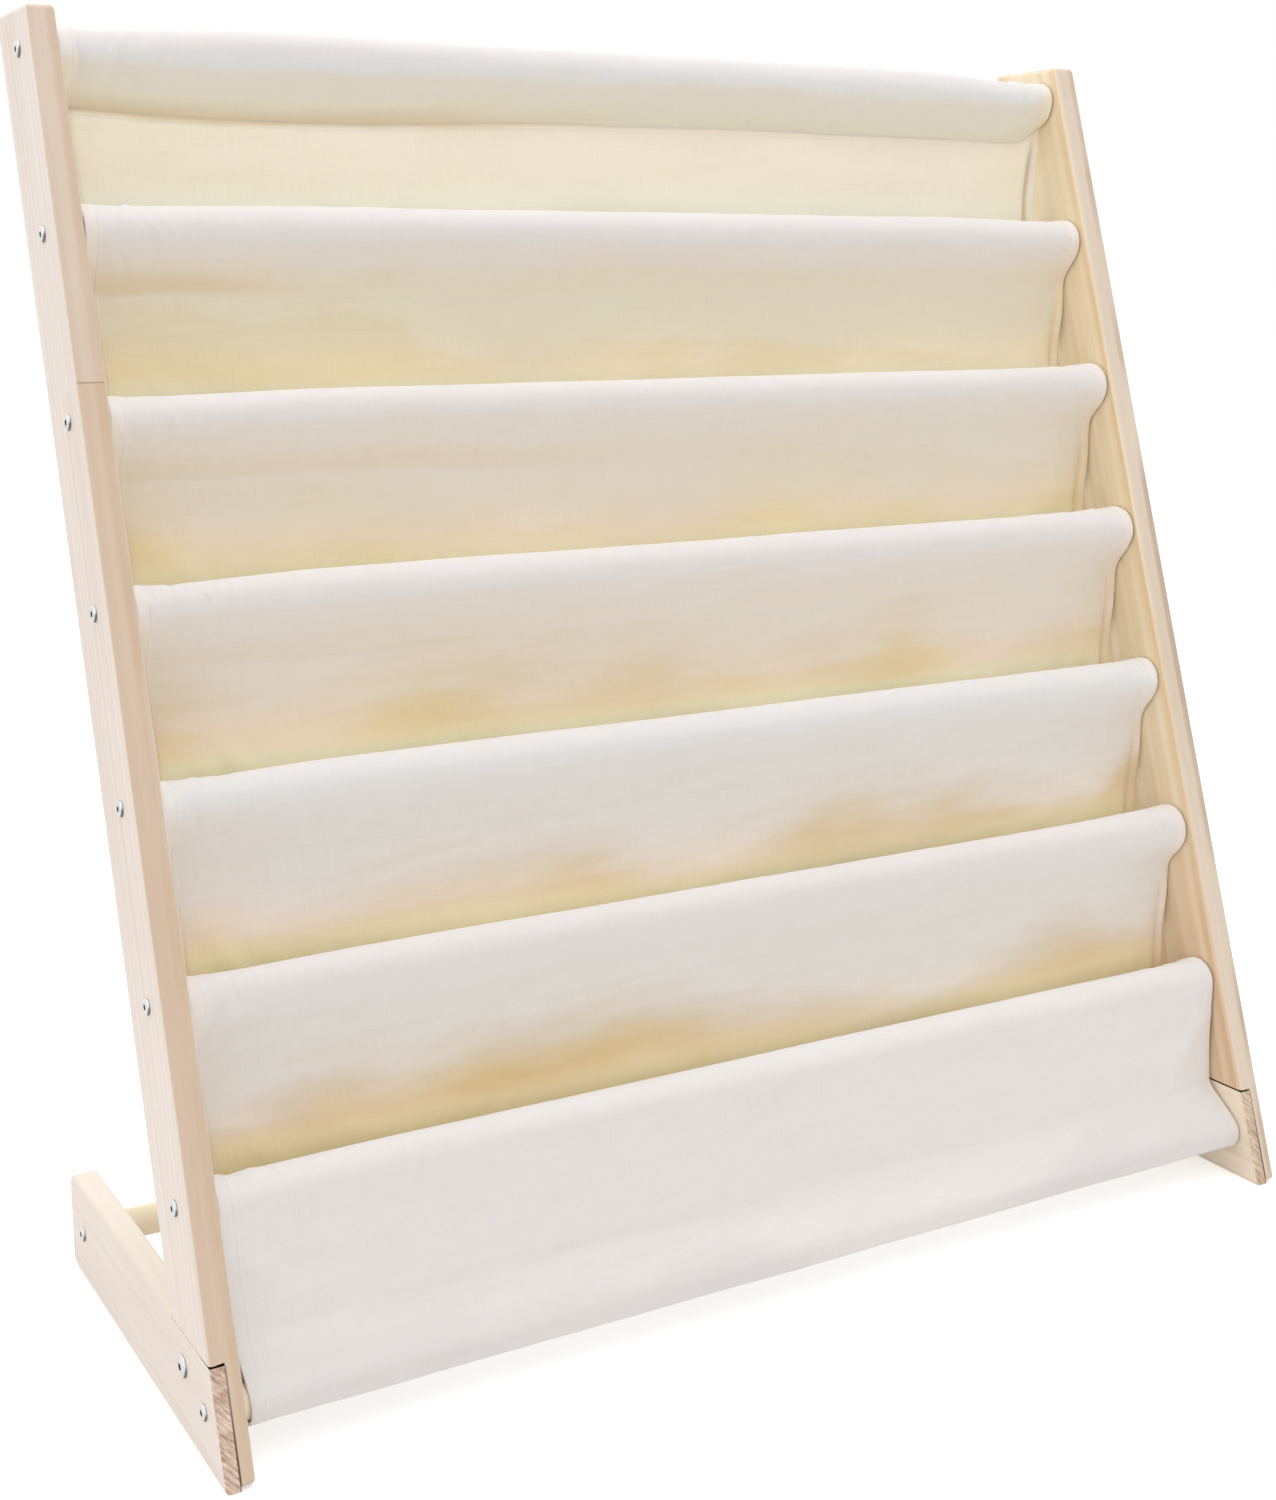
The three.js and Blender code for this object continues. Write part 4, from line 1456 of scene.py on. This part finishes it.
# %% Shell of cloth
def cloth_shell(name, places, down):
    """A closed mesh from a grid of places, one row per station, with a UV map in metres of cloth."""
    rows, columns = places.shape[:2]
    size = rows * columns
    normal = normals_of(places)
    edge = from_edge[:, None]
    in_hem = 1 - window(edge, hem_width - 0.8 * mm, hem_width)
    groove = np.exp(-(((edge - stitch_line) / (0.7 * mm)) ** 2))
    lift = cloth_thickness * (0.5 + 0.45 * in_hem - 0.5 * groove)
    front = places + normal * lift[:, :, None]
    back = places - normal * (lift + 0.2 * in_hem * cloth_thickness)[:, :, None]
    grid = np.arange(size).reshape(rows, columns)
    quads = np.stack([grid[:-1, :-1], grid[:-1, 1:], grid[1:, 1:], grid[1:, :-1]], axis=2).reshape(-1, 4)
    border = np.concatenate([grid[0, :-1], grid[:-1, -1], grid[-1, :0:-1], grid[:0:-1, 0]])
    rim = (front.reshape(-1, 3)[border] + back.reshape(-1, 3)[border]) / 2
    rim[:, 0] = rim[:, 0] + np.isin(border, grid[[0, -1]]) * np.sign(rim[:, 0]) * cloth_thickness * 0.4
    vertices = np.concatenate([front.reshape(-1, 3), back.reshape(-1, 3), rim])
    here = 2 * size + np.arange(len(border))
    there = np.roll(here, -1)
    following = np.roll(border, -1)
    outer = np.stack([border, here, there, following], axis=1)
    inner = np.stack([here, border + size, following + size, there], axis=1)
    faces = np.concatenate([quads, quads[:, ::-1] + size, outer, inner])
    mesh = bpy.data.meshes.new(name)
    mesh.from_pydata(vertices.tolist(), [], faces.tolist())
    width = (shares[:, None] * cloth_width * np.ones_like(down)).ravel()
    corner = np.zeros(len(mesh.loops), dtype=int)
    mesh.loops.foreach_get("vertex_index", corner)
    u = np.concatenate([width, width, width[border]])[corner]
    v = np.concatenate([down.ravel(), down.ravel(), down.ravel()[border]])[corner]
    mesh.uv_layers.new(name="cloth").data.foreach_set("uv", np.stack([u, v], axis=1).ravel())
    faced = np.concatenate([np.ones(size), np.zeros(size), np.full(len(border), 0.5)])
    mesh.attributes.new("front", "FLOAT", "POINT").data.foreach_set("value", faced)
    return closed_piece(name, mesh)


# %% [markdown]
# ## Stitches
#
# One stitch is a small pillow of thread. It is modelled once, and laid along the seam under each casing and
# along both side hems, a few millimetres apart, half sunk into the canvas.

# %% One stitch
stitch_length = 2.6 * mm
stitch_pitch = 3.4 * mm
thread_radius = 0.24 * mm
pattern = add("uv_sphere", "stitch_pattern", segments=6, ring_count=5, radius=1, location=(0, 0, 0))
pick(pattern, "VERT", lambda vert: True)
stitch_scale = (thread_radius, thread_radius, stitch_length / 2)
bpy.ops.transform.resize(value=stitch_scale, center_override=(0, 0, 0))
pick(pattern, "VERT", lambda vert: abs(vert.co.z) > 0.4 * stitch_length)
bpy.ops.transform.translate(value=(0, -0.6 * thread_radius, 0))
leave_edit()
stitch_points = np.array([vert.co for vert in pattern.data.vertices])
stitch_faces = [tuple(face.vertices) for face in pattern.data.polygons]
bpy.data.objects.remove(pattern)
print("faces in a stitch:", len(stitch_faces))


# %% Sew a line
def stitch_row(line, normal):
    """Stitch points along a line of places, one set of points per stitch. Each stitch's y axis is the cloth's
    normal there, and its z axis the way of the line."""
    run = np.concatenate([[0], np.cumsum(np.linalg.norm(np.diff(line, axis=0), axis=1))])
    stops = np.arange(stitch_pitch, run[-1] - stitch_pitch, stitch_pitch)

    def at(values, where):
        return np.stack([np.interp(where, run, values[:, k]) for k in range(3)], axis=1)

    middle = at(line, stops)
    way = at(line, stops + 0.5 * mm) - at(line, stops - 0.5 * mm)
    way = way / np.linalg.norm(way, axis=1, keepdims=True)
    up = at(normal, stops)
    side = np.cross(up, way)
    axes = np.stack([side, up, way], axis=1)
    return middle[:, None, :] + np.einsum("pk,nkc->npc", stitch_points, axes)


def sew(name, rows):
    points = np.concatenate(rows)
    count = points.shape[1]
    faces = [tuple(n * count + v for v in face) for n in range(len(points)) for face in stitch_faces]
    mesh = bpy.data.meshes.new(name)
    mesh.from_pydata(points.reshape(-1, 3).tolist(), [], faces)
    piece = closed_piece(name, mesh)
    piece.data.materials.append(thread_finish)
    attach(piece, "root")
    return piece

# %% [markdown]
# ## Pockets
#
# The six pockets are hung in one loop. What differs between them, such as the sag of a seam, the lift of a
# casing or the curl of a hem, stands in lists, and the seeds of their waves are counted on.


# %% Finish a sheet
def run_start(runs, number):
    """The column at which a run starts, once the runs are joined."""
    return sum(run.shape[1] - 1 for run in runs[:number])


def finish_sheet(node, places, down, finish, seam_columns):
    """The canvas of one node, and the stitches along its side hems and its seams."""
    piece = cloth_shell(node + "_cloth", places, down)
    dress(piece, finish, "canvas", node)
    normal = normals_of(places)
    surface = places + normal * (cloth_thickness * 0.5)
    rows = []
    for wanted in (stitch_line, cloth_width - stitch_line):
        station = int(np.argmin(np.abs(shares * cloth_width - wanted)))
        rows.append(stitch_row(surface[station], normal[station]))
    for column in seam_columns:
        rows.append(stitch_row(surface[:, column], normal[:, column]))
    return piece, sew(node + "_stitches", rows)


# %% Hang the pockets
hem_curls = [
    (1.0 * mm, 2.6 * mm),
    (0.6 * mm, 1.2 * mm),
    (0.8 * mm, 1.6 * mm),
    (1.0 * mm, 1.0 * mm),
    (0.5 * mm, 1.4 * mm),
    (0.8 * mm, 1.2 * mm),
]
for i in range(6):
    runs = pocket_path(i)
    path = chain(runs)
    run = lengths(path)
    seam_column = run_start(runs, 3)
    down = run - run[:, seam_column : seam_column + 1]
    foot_at = down[:, run_start(runs, 4)].mean()
    free = window(down, 18 * mm, 80 * mm) * (1 - 0.8 * window(down, foot_at, foot_at + 15 * mm))
    free = free * (1 - window(down, down.max() - 16 * mm, down.max() - 3 * mm))
    pull = end_pull * window(down, 4 * mm, 60 * mm)
    places = hang(path, down, 400 + i, pocket_belly, free, pull, hem_curls[i])
    node = f"sling_pocket_{i + 1}"
    piece, seam = finish_sheet(node, places, down, pocket_finishes[i], [seam_column + 1])

# %% [markdown]
# The last sheet goes over the lowest sling rod, hangs almost taut in front of the lowest pocket and is sewn
# round the rod in the feet. It has no pinched seam in front: the taut cloth bridges it. Low on the left it
# stands a little off the board, so that a dark gap shows there.

# %% Path of the panel
panel_over_to = 184
panel_under_from = 146
panel_under_to = 370


def panel_path():
    rise, over, _ = casing(6, 0, panel_over_to)
    seam_y = front_centre[0] + 17 * mm + 0.7 * mm * waves(701, 5, 1, 5)(shares)
    seam_z = front_centre[1] + 33 * mm + 3 * mm * waves(702, 5, 1, 5)(shares)
    low_seam = pairs(seam_y, seam_z)
    fall = bezier(over[:, -1], pairs(0.2 * mm, -14 * mm), pairs(1.2 * mm, 14 * mm), low_seam, 34)
    radius = rod_radius + (2.0 + 0.5 * waves(777, 6, 1, 8)(shares)) * mm
    middle_low = pairs(front_centre[0] - 0.4 * mm, front_centre[1] - 0.6 * mm)
    under = arc(middle_low, radius, panel_under_from, panel_under_to, 34)
    inwards = -tangent(panel_under_from) * 9 * mm
    flare = bezier(low_seam, pairs(-1.4 * mm, -9 * mm), inwards, under[:, 0], 18)
    back_seam = low_seam + pairs(1.4 * cloth_thickness + 0.2 * mm, 1 * mm)
    back = bezier(under[:, -1], tangent(panel_under_to) * 7 * mm, pairs(2 * mm, -9 * mm), back_seam, 14)
    return [rise, over, fall, flare, under, back]


# %% Hang the panel
runs = panel_path()
path = chain(runs)
run = lengths(path)
start_column = run_start(runs, 2)
down = run - run[:, start_column : start_column + 1]
low_column = run_start(runs, 3)
low_at = down[:, low_column].mean()
end_at = down.max()
free = between(down, 10 * mm, 40 * mm, low_at - 20 * mm, low_at + 10 * mm)
pull = 1.2 * mm * between(down, 0, 30 * mm, low_at, low_at + 20 * mm)
left_gap = between(down, low_at - 45 * mm, low_at, end_at - 30 * mm, end_at)
pull = pull + 3.6 * mm * left_gap * (side_of[:, None] < 0)
places = hang(path, down, 500, panel_belly, free, pull)
panel, seam = finish_sheet("sling_front_panel", places, down, panel_finish, [])
